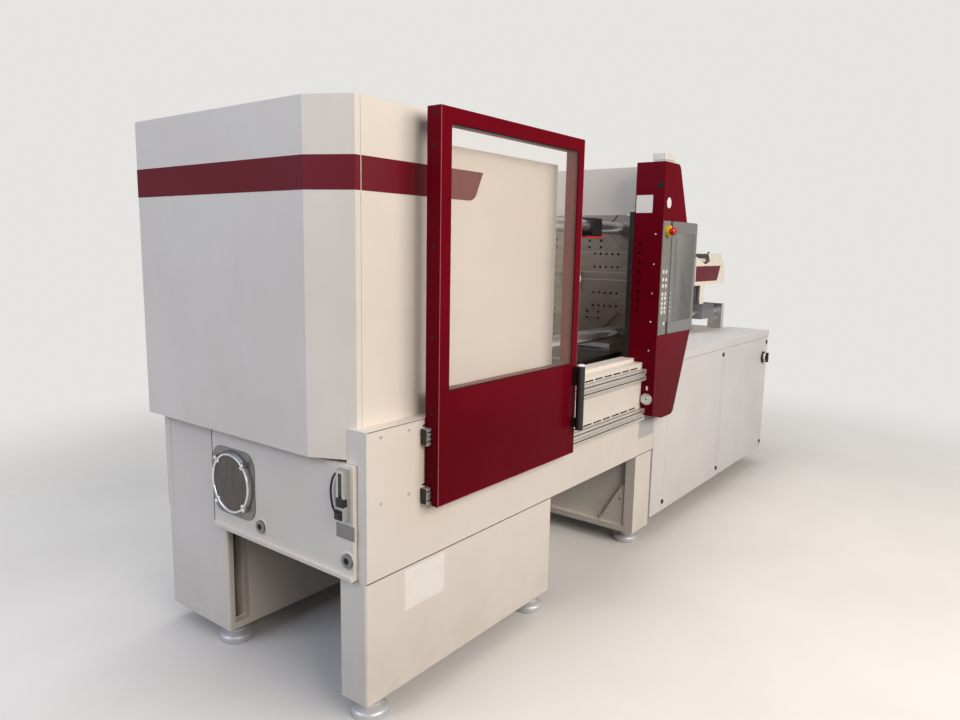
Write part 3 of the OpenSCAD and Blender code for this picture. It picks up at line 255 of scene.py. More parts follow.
# each finish: the material's name, its colour and its aged or worn one, and its roughness; a ground metal also
# has the width of its hair lines in mm, how they lie, the share of its grease film and how metallic it is
finish = {
    "sheet": powderCoat("powder_coated_sheet_steel", paintLook["sheet"], paintLook["sheetAged"], 0.40),
    "frame": powderCoat("painted_welded_frame", paintLook["frame"], "#5B564F", 0.55, dustTop=1.0,
                        dustAmount=0.5),
    "patch": powderCoat("grey_field_paint", "#BDBCBD", "#ABA9A8", 0.5, dustAmount=0.1),
    "deckDark": powderCoat("darkened_deck_paint", "#5F574E", "#4A433B", 0.34, dustAmount=0.0, chips=0.0),
    # same paint as the housings, drawn cooler and greyer as painted shade for the weaker, cooler light on the
    # cabinet
    "cabinet": powderCoat("cabinet_sheet_painted_shade", "#DFDEDE", "#D0CDCB", 0.38),
    # the maroon takes a painted shade that darkens its low parts towards the floor
    "maroon": powderCoat("maroon_powder_coat", paintLook["maroon"], paintLook["maroonDeep"], 0.28,
                         dustAmount=0.05, specular=0.025, wave=0.08, chips=0.12, lowShade=0.55),
    "cover": powderCoat("cream_cover_paint", "#FBF4E6", "#EFE6D6", 0.38, dustAmount=0.0, chips=0.1),
    # lighter maroon strips that paint the highlight on the door's bent corners
    "maroonHighlight": powderCoat("maroon_bend_painted_highlight", "#B4616C", "#94304A", 0.30, dustAmount=0.0, specular=0.4,
                             wave=0.0, chips=0.0),
    "dull": groundMetal("dull_plated_steel", "#8E8D8C", "#6F6D6B", 0.34, 3.0, "along", 0.2, 0.8),
    "foot": groundMetal("zinc_plated_foot", "#D2D3D5", "#B4B4B5", 0.34, 3.0, "rings", 0.06, 0.35),
    "film": powderCoat("maroon_vinyl_film", "#6E1220", "#5E0C1A", 0.36, dustAmount=0.0, specular=0.22,
                       wave=0.15, chips=0.0),
    "platen": machinedIron("milled_cast_iron", "#B0A497", "#837970", 0.42, passes=85, oil=0.2),
    # lighter metal for the painted highlight on the steps between milled passes
    "platenHighlight": groundMetal("milled_edge_painted_highlight", "#D8CFC4", "#B5ABA0", 0.34, 3.0, "along", 0.2, 0.5),
    "casting": machinedIron("painted_grey_casting", "#75777A", "#5C5E61", 0.55, passes=140, metallic=0.0,
                            oil=0.25),
    "chrome": groundMetal("hard_chromed_bar", "#DCDDDE", "#B9BABC", 0.24, 2.2, "rings", 0.08),
    "drawn": groundMetal("drawn_aluminium_rail", "#D9D4CB", "#B5AFA6", 0.38, 2.0, "along", 0.14, 0.6),
    "zinc": groundMetal("zinc_plated_steel", "#C9C9C6", "#A3A29D", 0.30, 3.0, "along", 0.15, 0.85),
    "bright": groundMetal("polished_stainless", "#EDEDEE", "#CFCFD0", 0.22, 3.0, "along", 0.04, 0.8),
    "way": groundMetal("oiled_guideway_steel", "#5C5853", "#47423D", 0.30, 2.5, "along", 0.45),
    "barrel": groundMetal("nitrided_barrel_steel", "#6C6763", "#4C4743", 0.38, 4.0, "rings", 0.35),
    "heater": groundMetal("stainless_heater_band", "#B8B3AB", "#8F877B", 0.30, 3.5, "rings", 0.20),
    "foldShade": powderCoat("shaded_paint_fold", "#9C9896", "#8A8683", 0.5, dustAmount=0.0, wave=0.0,
                            chips=0.0),
    "black": mouldedPlastic("moulded_black_plastic", "#101011", "#242425", 0.42),
    "rubber": mouldedPlastic("extruded_black_rubber", "#161514", "#2A2827", 0.68, grain=2.4, depth=0.08),
    "greyPanel": mouldedPlastic("grey_membrane_foil", "#84827E", "#74716D", 0.48, grain=2.0, depth=0.03),
    "key": mouldedPlastic("pale_key_foil", "#E9E7E2", "#D6D3CC", 0.40, grain=2.0, depth=0.02),
    "bezel": mouldedPlastic("grey_display_frame", "#7C7D7E", "#8B8C8C", 0.36, grain=1.6, depth=0.03),
    "red": mouldedPlastic("red_moulded_knob", "#C01518", "#8F1013", 0.28, grain=3.0, depth=0.02, coat=0.3),
    "signal": mouldedPlastic("red_painted_plate", "#C9201C", "#A8382C", 0.40, grain=3.0, depth=0.02),
    "yellow": mouldedPlastic("yellow_moulded_collar", "#E3B40F", "#C3960B", 0.34, grain=3.0, depth=0.02),
    "lamp": mouldedPlastic("opal_lamp_housing", "#E4E0D9", "#CFCAC2", 0.34, grain=3.0, depth=0.02),
    "label": mouldedPlastic("bare_label_film", "#EDEBE6", "#E0DCD4", 0.36, grain=6.0, depth=0.01),
    # near-black: painted shade in holes, slots, sockets, seams and panel joints, and the dark door screws
    "hole": mouldedPlastic("dark_screws_and_painted_recess_shade", "#0B0B0B", "#151413", 0.80, grain=6.0, depth=0.02),
    # the window's warm pale colour is a painted reflection laid over what shows through
    "window": clearSheet("polycarbonate_window", "#E9DCCB", 0.04, 1.58, 0.07),
}


def displayGlass():
    # flat screen behind a touch pane, switched off: dark grey field with a mirror-smooth front and dust on it
    material, tree, shader, coords = startMaterial("touch_screen_glass", Roughness=0.2, IOR=1.48,
                                                   Coat_Weight=0.25, Coat_Roughness=0.12)
    dust = cloudy(tree, coords, 60, detail=6, rough=0.65, low=0.45, high=0.8)
    tree.links.new(overlaid(tree, "#5E5C5A", "#7B7671", dust, 0.25), shader.inputs["Base Color"])
    setGloss(tree, shader, dust, 0.20, 0.38)
    return material


def inspectionDisc():
    # dark plastic inspection disc with brown oil residue run down behind it: streaks long in z, 14 mm apart
    material, tree, shader, coords = startMaterial("smoked_inspection_disc", Roughness=0.22, IOR=1.50)
    streaks = cloudy(tree, coords, 14, stretch=(1, 1, 0.10), detail=4, low=0.35, high=0.70)
    blots = cloudy(tree, coords, 70, detail=5, low=0.35, high=0.70)
    tone = overlaid(tree, "#3E3733", "#6A5F59", streaks, 0.6)
    tree.links.new(overlaid(tree, tone, "#4A342B", blots, 0.5), shader.inputs["Base Color"])
    setGloss(tree, shader, blots, 0.16, 0.36)
    return material


# oil run in the leg's channel: machine x of the crack where it starts and how far it reaches, in mm, and then
# each colour with the shares between which it takes over
oilLook = {
    "start": 87, "reach": 60, "wet": "#1B1512",
    "later": (("#5B4838", 0.0, 0.42), ("#B9B5B0", 0.40, 0.95)),
}


def oilRun():
    # old oil that crept out of the crack beside the leg's flange: near black there, brown further out, and gone
    # into the paint's own grey at its reach; share = distance / reach + 0.35 ragged noise - 0.15
    material, tree, shader, coords = startMaterial("oil_run_on_paint", Roughness=0.6)
    x = addNode(tree, "ShaderNodeSeparateXYZ", {0: coords}).outputs[0]
    crack = machineZero[0] + oilLook["start"] / 1000
    limits = {"Value": x, "From Min": crack, "From Max": crack + oilLook["reach"] / 1000}
    away = addNode(tree, "ShaderNodeMapRange", limits).outputs[0]
    noise = cloudy(tree, coords, 34, stretch=(1, 1, 0.12), detail=5, rough=0.6, low=0.25, high=0.75)
    ragged = addNode(tree, "ShaderNodeMath", {0: noise, 1: 0.35}, operation="MULTIPLY").outputs[0]
    share = addNode(tree, "ShaderNodeMath", {0: away, 1: ragged}, operation="ADD").outputs[0]
    share = addNode(tree, "ShaderNodeMath", {0: share, 1: 0.15}, operation="SUBTRACT").outputs[0]
    tone = oilLook["wet"]
    for colour, start, end in oilLook["later"]:
        limits = {"Value": share, "From Min": start, "From Max": end}
        tone = overlaid(tree, tone, colour, addNode(tree, "ShaderNodeMapRange", limits).outputs[0])
    tree.links.new(tone, shader.inputs["Base Color"])
    setGloss(tree, shader, noise, 0.45, 0.62)
    return material


finish["screen"] = displayGlass()
finish["disc"] = inspectionDisc()
finish["stain"] = oilRun()
print("finishes made:", len(finish))

# which finish each part of the frame carries
partFinish = {
    "hood_end_cap": "sheet", "hood_body": "sheet", "colour_band": "film", "mould_guards": "sheet",
    "side_panels": "sheet", "leg_boxes": "sheet", "pedestals": "sheet", "levelling_feet": "foot",
    "bed_beams": "frame", "cross_members": "frame", "oil_tank": "frame", "tank_panel": "sheet",
    "tank_fittings": "dull", "level_gauge": "zinc", "gauge_cable": "rubber", "bar_clamp": "black",
    "pump_set": "casting", "mould_ledge": "sheet", "guard_rails": "drawn",
    "door_frame_front": "maroon", "door_window_front": "window", "door_grip_front": "black",
    "door_carriers_front": "black", "door_frame_rear": "maroon", "door_window_rear": "window",
    "door_grip_rear": "black", "door_carriers_rear": "black",
    "cylinder_platen": "casting", "tie_bars": "chrome", "clamp_ways": "way", "moving_platen": "platen",
    "clamp_ram": "chrome", "ejector": "casting", "fixed_platen": "platen", "platen_cover": "sheet",
    "control_column": "maroon", "column_seal": "rubber", "operating_panel": "greyPanel",
    "touch_display": "bezel", "stop_base": "yellow", "stop_head": "red", "signal_lamp": "lamp",
    "column_socket": "zinc",
    "injection_deck": "sheet", "carriage_bars": "chrome", "injection_carriage": "casting", "barrel": "heater",
    "injection_piston": "chrome", "screw": "barrel", "injection_cover": "cover",
    "cabinet_body": "cabinet", "cabinet_lid": "cabinet", "cabinet_door_left": "cabinet",
    "cabinet_door_right": "cabinet", "latch_left_top": "black", "latch_left_low": "black",
    "latch_right_top": "black", "latch_right_low": "black", "latch_strip": "black", "main_switch": "black",
}
for name, node in nodes.items():
    for index in range(max(1, len(node.data.materials))):
        if index < len(node.data.materials):
            node.data.materials[index] = finish[partFinish[name]]
        else:
            node.data.materials.append(finish[partFinish[name]])
print("frame parts painted")


def cadBoxFront(name):
    # machine y of a part's operator side
    return (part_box(name)[0][1] - machineZero[1]) * 1000


# facings: local a, b and c as machine directions, with c out of the face
facings = {
    "front": np.array([[1, 0, 0], [0, 0, 1], [0, -1, 0]], float),
    "end": np.array([[0, -1, 0], [0, 0, 1], [-1, 0, 0]], float),
    "rear": np.array([[-1, 0, 0], [0, 0, 1], [0, 1, 0]], float),
    "far": np.array([[0, 1, 0], [0, 0, 1], [1, 0, 0]], float),
    "top": np.array([[1, 0, 0], [0, 1, 0], [0, 0, 1]], float),
}


def roundedOutline(width, height, radius, steps=5):
    # corner arcs of a rectangle: corner centre plus radius times (cos t, sin t), a quarter turn each
    t = (np.arange(4)[:, None] + np.linspace(0, 1, steps)) * np.pi / 2
    sx = np.array([1, -1, -1, 1])[:, None]
    sy = np.array([1, 1, -1, -1])[:, None]
    across = sx * (width / 2 - radius) + radius * np.cos(t)
    upward = sy * (height / 2 - radius) + radius * np.sin(t)
    return np.stack([across, upward], -1).reshape(-1, 2)


def plateRings(width, height, radius, profile, steps=5):
    # a rounded rectangle drawn once for each (inset, height) of the edge profile, from the back to the front
    rings = []
    for inset, lift in profile:
        outline = roundedOutline(width - 2 * inset, height - 2 * inset, max(radius - inset, 0.05), steps)
        rings.append(np.column_stack([outline, np.full(4 * steps, lift)]))
    return np.stack(rings)


def turnedRings(profile, count=20):
    # a profile of (radius, height) turned about the local c axis: (r cos t, r sin t, h)
    t = np.arange(count) * 2 * np.pi / count
    r, h = np.array(profile, float).T
    return np.stack([r[:, None] * np.cos(t), r[:, None] * np.sin(t), np.repeat(h[:, None], count, 1)], -1)


def placed(rings, facing, centre):
    # local rings turned to a facing and moved to a machine place
    return rings @ facings[facing] + np.asarray(centre, float)


def repeated(rings, places):
    # copies of one shape: adds every place to it at once
    return rings[None] + np.asarray(places, float)[:, None, None]


def buildPiece(name, stacks, material, body="base", smooth=True):
    # each stack is rings (rows, count, 3) or copies of them (copies, rows, count, 3) in machine mm;
    # quads join ring i to ring i + 1, and the first and last ring are closed by a flat face
    verts, quads, caps, start = [], [], [], 0
    for stack in stacks:
        stack = np.asarray(stack, float)
        if stack.ndim == 3:
            stack = stack[None]
        copies, rows, count = stack.shape[:3]
        ring = np.arange(count)
        nextOne = (ring + 1) % count
        row = (np.arange(rows - 1) * count)[:, None]
        quad = np.stack([row + ring, row + nextOne, row + count + nextOne, row + count + ring], -1)
        quad = quad.reshape(-1, 4)
        shift = start + np.arange(copies) * rows * count
        quads += (quad[None] + shift[:, None, None]).reshape(-1, 4).tolist()
        caps += (ring[::-1][None] + shift[:, None]).tolist()
        caps += (ring[None] + (rows - 1) * count + shift[:, None]).tolist()
        verts.append(stack.reshape(-1, 3))
        start += copies * rows * count
    mesh = bpy.data.meshes.new(name)
    mesh.from_pydata(toRow(np.concatenate(verts)).tolist(), [], quads + caps)
    mesh.polygons.foreach_set("use_smooth", np.full(len(mesh.polygons), smooth))
    mesh.update()
    piece = bpy.data.objects.new(name, mesh)
    bpy.context.scene.collection.objects.link(piece)
    mesh.materials.append(finish[material])
    if smooth:
        # only the bends under 40 degrees are shaded round
        mesh.set_sharp_from_angle(angle=np.radians(40))
    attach(piece, body)
    return piece


def thinPlate(facing, centre, width, height, lift=0.5, radius=1.0):
    # flat strip, seam or film: its back is sunk 0.3 mm, its front edge broken by a quarter of its height
    edge = [(0, -0.3), (0, lift * 0.75), (lift * 0.25, lift)]
    return placed(plateRings(width, height, radius, edge, 3), facing, centre)


def capScrew(size, high):
    # button head: flat rim, round shoulder, hexagonal socket drawn as a turned cup
    return [(size / 2, -0.5), (size / 2, high * 0.45), (size * 0.42, high * 0.85), (size * 0.30, high),
            (size * 0.18, high), (size * 0.17, high * 0.35), (0.3, high * 0.3)]


def addPlate(name, facing, centre, size, profile, material, slotName, body="base", steps=5, flat=False):
    # one rounded plate: size is width, height and corner radius, profile the steps of its edge
    rings = placed(plateRings(*size, profile, steps), facing, centre)
    return buildPiece(name, [rings], material, body, not flat)


def addTurned(name, facing, centre, profile, count, material, body="base", flat=False):
    # one turned part: its profile of (radius, height) drawn with this many sides
    rings = placed(turnedRings(profile, count), facing, centre)
    return buildPiece(name, [rings], material, body, not flat)


# edge of a bare film or label field: (inset, height) from its back to its front
filmEdge = [(0, -0.3), (0, 0.25), (0.2, 0.4)]
print("surface tools ready")

# guard doors: edge screws, rubber bead of the window, bend lines drawn as lighter strips of painted highlight,
# cap of the grip
doorLook = {
    "screwHeights": (1965, 1866, 1556, 1262, 1010, 800),    # mm; the far edge has all but the topmost
    "screwProfile": [(5.5, -0.4), (5.5, 0.5), (4.6, 0.9), (2.4, 0.9), (2.2, 0.35), (0.3, 0.3)],
    "edges": (323, 1205),                                   # where the two upright edges stand, mm
    "window": (786, 855, 3), "windowMiddle": (769, 1509.5),
    "beadRadius": 2.2, "beadDepth": 1.8, "beadBack": 23.5,
    "bendLines": ((324.6, 1340, 2.6, 1286, 0.5), (1203.8, 1340, 2.0, 1286, 0.4), (764, 696.6, 876, 1.8, 0.4)),
    "capProfile": [(17.0, -1.0), (17.0, 2.0), (15.6, 5.0), (11.5, 7.4), (6.0, 8.4), (0.3, 8.8)],
    "capPlace": (1185, 1075),
}
# side is 1 at the operator's door and -1 at the rear one, and shift is how far along the door rests;
# middle, face and grip are where the frame's middle, its outer face and the grip bar lie across the machine
doorSides = {
    "front": {"side": 1, "body": "front_door", "shift": 0, "middle": -88.5, "face": -117.2, "grip": -151},
    "rear": {"side": -1, "body": "rear_door", "shift": 755, "middle": 1138.5, "face": 1167.2, "grip": 1201},
}


def doorEdges(label, door):
    # painted highlight strips on the frame's bends at both upright corners and along the foot, and the grip's
    # domed end cap
    body, shift, face, grip = (door[key] for key in ("body", "shift", "face", "grip"))
    lines = [thinPlate(label, (x + shift, face, z), width, height, lift, 0.8)
             for x, z, width, height, lift in doorLook["bendLines"]]
    buildPiece("door_bend_highlights_" + label, lines, "maroonHighlight", body, smooth=False)
    x, z = doorLook["capPlace"]
    addTurned("grip_cap_" + label, "top", (x + shift, grip, z), doorLook["capProfile"], 24, "key",
              body)


def doorDetails(label, door):
    # dark countersunk screws down the closing and leading edges, and the window's rubber bead
    body, shift, side, middle = (door[key] for key in ("body", "shift", "side", "middle"))
    head = turnedRings(doorLook["screwProfile"], 14)
    heights = [(0, 0, z) for z in doorLook["screwHeights"]]
    near, far = doorLook["edges"]
    stacks = [repeated(head @ facings["end"], np.array(heights) + [near + shift, middle, 0]),
              repeated(head @ facings["far"], np.array(heights[1:]) + [far + shift, middle, 0])]
    buildPiece("door_edge_screws_" + label, stacks, "hole", body)
    # bead: a round section carried once round the opening, inward by radius * (1 + cos t) and out by
    # depth * sin t
    outline = roundedOutline(*doorLook["window"], 3)
    t = np.arange(8) * 2 * np.pi / 8
    inward = outline / np.abs(outline).max(axis=0)
    reach = doorLook["beadRadius"] + doorLook["beadRadius"] * np.cos(t)
    ring = outline[:, None] - inward[:, None] * reach[None, :, None]
    depth = np.full(ring.shape[:2], middle - side * doorLook["beadBack"])
    depth = depth + side * doorLook["beadDepth"] * np.sin(t)
    x, z = doorLook["windowMiddle"]
    section = np.stack([ring[..., 0] + x + shift, depth, ring[..., 1] + z], -1)
    if side > 0:
        section = section[:, ::-1]
    closed = np.concatenate([section, section[:1]])
    buildPiece("window_bead_" + label, [closed], "rubber", body)


for label, door in doorSides.items():
    doorEdges(label, door)
for label, door in doorSides.items():
    doorDetails(label, door)
print("doors dressed")

# operating column: screws and bare fields of its left face, ringed socket cap at its foot
columnLook = {
    "face": 1972, "screwSize": 9, "screws": ((-91, 1632), (-90, 1486), (-89, 1342), (-89, 1199), (-87, 1054)),
    "labelSize": (88, 86, 2), "labelPlace": (-24, 1779), "roundField": (2034, -126, 1786),
    "markSize": (10, 22, 3), "markPlace": (-88, 861), "holePlace": (-106, 1865),
    "socketPlace": (1980, -90, 805), "socketLift": 14.2,
}
screw = turnedRings(capScrew(columnLook["screwSize"], 3.0), 14)
places = [(columnLook["face"], y, z) for y, z in columnLook["screws"]]
buildPiece("column_screws", [repeated(screw @ facings["end"], places)], "bright", "base")
addPlate("column_label_field", "end", (columnLook["face"], *columnLook["labelPlace"]), columnLook["labelSize"],
         filmEdge, "label", "light_plastic", flat=True)
addTurned("column_round_field", "front", columnLook["roundField"],
          [(26, -0.3), (26, 0.3), (25.5, 0.45), (0.3, 0.45)], 40, "label", flat=True)
addPlate("socket_mark", "end", (columnLook["face"], *columnLook["markPlace"]), columnLook["markSize"],
         [(0, -0.3), (0, 0.6), (0.4, 0.9)], "label", "light_plastic")
# turned rings of the socket's cap
socketProfile = [(29, 0), (29.5, 2.0), (27, 3.6), (24.6, 3.4), (23.6, 1.6), (20.5, 1.4), (19.2, 3.6),
                 (16.4, 3.6), (15, 1.2), (10, 1.0), (8.6, 2.6), (5.2, 2.6), (4.2, 0.8), (0.3, 0.8)]
socketProfile = [(r, h + columnLook["socketLift"]) for r, h in socketProfile]
addTurned("socket_cap", "end", columnLook["socketPlace"], socketProfile, 44, "key")

# display: raised rim of the frame and the glass, a little to the right of the middle
displayLook = {
    "middle": (2237, -134, 1416), "size": (320, 562, 10), "glassSize": (244, 448, 2), "glassShift": (9, 0, 1),
    "rim": [(0.0, -0.4), (0.0, 0.6), (1.0, 1.2), (4.0, 1.2), (5.5, 0.5), (9.0, 0.4)],
    "glass": [(0, -0.4), (0, 0.9), (0.5, 1.3), (2.5, 1.3), (3.2, 0.8)],
}
middle = np.array(displayLook["middle"], float)
addPlate("display_bezel", "front", middle, displayLook["size"], displayLook["rim"], "bezel", "grey_plastic")
addPlate("display_screen", "front", middle + displayLook["glassShift"], displayLook["glassSize"],
         displayLook["glass"], "screen", "display_glass")

# foil keys of the panel in two columns, one key below them, and small keys down the display's side
keyLook = {
    "size": (19, 17, 3), "rows": (1449, 1409.5, 1379, 1339, 1317, 1292, 1269, 1247), "columns": (2001, 2036),
    "face": -131, "single": (2036, 1190), "profile": [(0, -0.5), (0, 0.5), (1.0, 1.0), (2.4, 1.2)],
    "sideSize": (9, 8, 2), "sidePlace": (2088, -135.0, 1247), "sidePitch": 23.5, "sideCount": 5,
    "sideProfile": [(0, -0.4), (0, 0.3), (0.6, 0.6)],
}
keyPlaces = [(x, keyLook["face"], z) for z in keyLook["rows"] for x in keyLook["columns"]]
keyPlaces += [(keyLook["single"][0], keyLook["face"], keyLook["single"][1])]
key = plateRings(*keyLook["size"], keyLook["profile"], 3) @ facings["front"]
buildPiece("panel_keys", [repeated(key, keyPlaces)], "key", "base")
steps = np.arange(keyLook["sideCount"])[:, None]
sidePlaces = np.array(keyLook["sidePlace"]) + steps * [0, 0, keyLook["sidePitch"]]
key = plateRings(*keyLook["sideSize"], keyLook["sideProfile"], 3) @ facings["front"]
buildPiece("display_side_keys", [repeated(key, sidePlaces)], "key", "base")

# gap between key panel and display: dark above the stop button and at its foot, filled beside the keys
gapLook = {
    "width": 14, "x": 2069, "face": -126, "shades": ((60, 1668), (66, 1167)), "fill": (438, 1419),
    "shadeEdge": [(0, -0.4), (0, 0.5), (0.4, 0.7)], "fillEdge": [(0, -0.4), (0, 3.2), (0.4, 3.6)],
}
gaps = [placed(plateRings(gapLook["width"], high, 1, gapLook["shadeEdge"], 3), "front",
               (gapLook["x"], gapLook["face"], z)) for high, z in gapLook["shades"]]
buildPiece("panel_gap_shades", gaps, "hole", "base", smooth=False)
high, z = gapLook["fill"]
addPlate("panel_gap_fill", "front", (gapLook["x"], gapLook["face"], z), (gapLook["width"], high, 1),
         gapLook["fillEdge"], "greyPanel", "grey_plastic", steps=3, flat=True)
# cable hole at the top drawn as a dark disc of painted shade, ring and middle contact of the socket's cap
addTurned("column_hole", "end", (columnLook["face"], *columnLook["holePlace"]),
          [(15.5, -0.3), (15.5, 0.5), (14.5, 0.8), (0.3, 0.8)], 32, "hole", flat=True)
marks = [turnedRings([(21.4, 15.2), (21.4, 16.2), (18.6, 16.2), (18.6, 15.2)], 40),
         turnedRings([(3.6, 14.8), (3.6, 17.2), (2.8, 17.6), (0.3, 17.6)], 16)]
marks = [placed(rings, "end", columnLook["socketPlace"]) for rings in marks]
buildPiece("socket_cap_marks", marks, "dull", "base")
print("column dressed")

# rails: punched slots over them as dark plates of painted shade; along them a bright strip of painted
# highlight on each top edge and dark strips of painted shade in the grooves; black end caps
railLook = {
    "slotSize": (76, 7, 3), "slotPitch": 90, "slotEnds": (352, 1935), "slotHeights": (966, 763),
    "faces": {"front": -55, "rear": 1105}, "railFaces": {"front": -83, "rear": 1133},
    "railHeights": (931, 728), "railMiddle": 1133, "railLength": 1652, "highlightAbove": 26, "grooveShadePlaces": (17, -14),
    "capX": 305, "capFaces": (-69, 1119), "capSize": (27, 26),
}
# slots: dark plates of painted shade
slot = plateRings(*railLook["slotSize"], [(0, -0.3), (0, 0.35), (0.3, 0.45)], 4)
slotX = np.arange(*railLook["slotEnds"], railLook["slotPitch"])
for facing, face in railLook["faces"].items():
    slotPlaces = [(x, face, z) for z in railLook["slotHeights"] for x in slotX]
    slots = repeated(slot @ facings[facing], slotPlaces)
    buildPiece("rail_slots_" + facing, [slots], "hole", "base", smooth=False)
# a bright strip of painted highlight along each top edge, dark strips of painted shade in the grooves
edge = plateRings(railLook["railLength"], 3.0, 1.4, [(0, -0.3), (0, 0.3), (0.3, 0.5)], 3)
grooveShade = plateRings(railLook["railLength"], 5.0, 0.4, [(0, -0.3), (0, 0.15), (0.1, 0.2)], 3)
edges = [placed(edge, facing, (railLook["railMiddle"], face, z + railLook["highlightAbove"]))
         for facing, face in railLook["railFaces"].items() for z in railLook["railHeights"]]
buildPiece("rail_edge_highlights", edges, "bright", "base", smooth=False)
grooveShades = [placed(grooveShade, "front", (railLook["railMiddle"], railLook["railFaces"]["front"], z + up))
         for up in railLook["grooveShadePlaces"] for z in railLook["railHeights"]]
buildPiece("rail_groove_shades", grooveShades, "rubber", "base", smooth=False)
wide, high = railLook["capSize"]
ends = []
for face in railLook["capFaces"]:
    for z in railLook["railHeights"]:
        ends += [thinPlate("end", (railLook["capX"], face, z + 14), wide, high, 1.6, 3),
                 thinPlate("end", (railLook["capX"], face, z - 13), high, wide, 0.8, 3)]
buildPiece("rail_end_caps", ends, "black", "base", smooth=False)

# bed: dark strips of painted shadow at the joints of its panels, screws, bare plates and fields, and an old oil
# run;
# a joint is its facing, place, width, height and lift, and a plate its place and then its width, height and
# corner radius
bedLook = {
    "joints": (("front", (605, -51, 496.6), 1084, 5.2, 0.5), ("front", (2057, -51, 496.6), 180, 5.2, 0.5),
               ("rear", (605, 1101, 496.6), 1084, 5.2, 0.5), ("rear", (2057, 1101, 496.6), 180, 5.2, 0.5),
               ("front", (690, -55, 988.2), 1255, 2.2, 0.3)),
    "cover": ((2157, -50, 745), 13.4, 488, 4.2),
    "screwSize": 11, "frontScrews": ((122, 248), (965, 749)), "rearScrews": ((140, 4000, 420), (540, 945)),
    "ratingPlate": ((44, 24.5, 660), (83, 48, 2)), "legField": ((338, -51, 411), (203, 143, 3)),
    "footPlate": ((2062, -55, 636), (178, 96, 3)), "tankSeam": ((44, 750.5, 696), (4, 352, 1)),
    "oilRun": ((118, 736, 298), 60, 388),
}
joints = [thinPlate(*joint) for joint in bedLook["joints"]]
buildPiece("panel_joint_shadows", joints, "hole", "base", smooth=False)
# cover strip in the joint between the bed and the cabinet, and the screws of both long sides
strip = thinPlate("front", *bedLook["cover"])
buildPiece("bed_joint_cover", [strip], "sheet", "base", smooth=False)
panelScrew = turnedRings(capScrew(bedLook["screwSize"], 3.0), 14)
acrossX, upZ = bedLook["frontScrews"]
screwPlaces = [(x, railLook["faces"]["front"], z) for x in acrossX for z in upZ]
screws = repeated(panelScrew @ facings["front"], screwPlaces)
buildPiece("bed_panel_screws", [screws], "zinc", "base")
acrossX, upZ = bedLook["rearScrews"]
screwPlaces = [(x, railLook["faces"]["rear"], z) for x in np.arange(*acrossX) for z in upZ]
screws = repeated(panelScrew @ facings["rear"], screwPlaces)
buildPiece("bed_rear_screws", [screws], "zinc", "base")
addPlate("bare_rating_plate", "end", *bedLook["ratingPlate"], [(0, -0.4), (0, 0.9), (0.5, 1.2)], "dull",
         "rail_aluminium")
addPlate("leg_label_field", "front", *bedLook["legField"], filmEdge, "label", "light_plastic", flat=True)
# a grey plate under the column's foot
addPlate("column_foot_plate", "front", *bedLook["footPlate"], [(0, -0.5), (0, 0.5), (0.4, 0.9)], "patch",
         "machine_grey", flat=True)
# seam between the leg box and the tank panel, drawn as a dark strip of painted shade
addPlate("tank_panel_seam_shade", "end", *bedLook["tankSeam"], [(0, -0.3), (0, 0.3), (0.2, 0.4)], "hole",
         "black_plastic", steps=3, flat=True)
buildPiece("leg_oil_run", [thinPlate("front", *bedLook["oilRun"], 0.4, 2)], "stain", "base",
           smooth=False)
print("bed dressed")

# tank end: bright ring, smoked disc with its pressed-out rim and four dogs of the inspection cover, two plugs
tankLook = {
    "coverAt": (40, 618, 695),
    "ring": [(102, 11.6), (102.5, 14.6), (104.5, 16.4), (107.5, 16.8), (110, 15.4), (111, 11.6)],
    "disc": [(95.5, 3.5), (95.5, 4.4), (88, 5.2), (40, 6.0), (0.3, 6.2)],
    "rim": [(94.6, 4.0), (94.9, 11.6), (96.4, 12.9), (101.2, 12.9), (102.2, 11.8)],
    "nut": [(10.5, 0), (10.5, 8), (8.5, 10.5), (5.5, 11), (5.5, 14), (4, 15.2), (0.3, 15.6)],
    "tongue": (15, 28, 5), "tongueEdge": [(0, 0), (0, 3.2), (0.8, 4)],
    "dogAngles": (45, 135, 225, 315), "dogRadius": 116,
    "panel": 44, "plugs": ((460, 567), (13, 567)),
    "plugBoss": [(23.2, -0.3), (30, -0.3), (30, 1.2), (28.5, 2.4), (24.6, 2.4), (23.2, 1.4)],
    "plugSocket": [(12.6, 8.6), (12.6, 9.5), (11.4, 9.6), (10.6, 6.0), (0.3, 5.6)],
}
addTurned("cover_ring", "end", tankLook["coverAt"], tankLook["ring"], 56, "bright")
addTurned("cover_disc", "end", tankLook["coverAt"], tankLook["disc"], 56, "disc")
addTurned("cover_rim", "end", tankLook["coverAt"], tankLook["rim"], 56, "disc")
# four dogs: a domed nut on a small clamping tongue that reaches over the ring
turn = np.radians(tankLook["dogAngles"])
nut = turnedRings(tankLook["nut"], 6)
tongue = plateRings(*tankLook["tongue"], tankLook["tongueEdge"], 4)
spots = tankLook["dogRadius"] * np.column_stack([np.zeros(4), np.cos(turn), np.sin(turn)])
coverAt = np.array(tankLook["coverAt"])
# each tongue is turned about the cover's middle so that it points inward: a sin t - b cos t across and
# a cos t + b sin t up
tongues = []
for angle, spot in zip(turn, spots):
    swing = np.array([[np.sin(angle), -np.cos(angle), 0], [np.cos(angle), np.sin(angle), 0], [0, 0, 1]])
    tongues.append(tongue @ swing.T @ facings["end"] + coverAt + spot * [1, 0.93, 0.93] - [12, 0, 0])
nuts = repeated(nut @ facings["end"], coverAt + spots - [8, 0, 0])
buildPiece("cover_dogs", [nuts] + tongues, "bright", "base")
# plugs: painted boss ring round a steel rim, with the hexagon socket drawn dark as painted shade
for index, (y, z) in enumerate(tankLook["plugs"]):
    at = (tankLook["panel"], y, z)
    addTurned("plug_boss_%d" % (index + 1), "end", at, tankLook["plugBoss"], 32, "sheet")
    addTurned("plug_socket_%d" % (index + 1), "end", at, tankLook["plugSocket"], 6, "hole",
              flat=True)

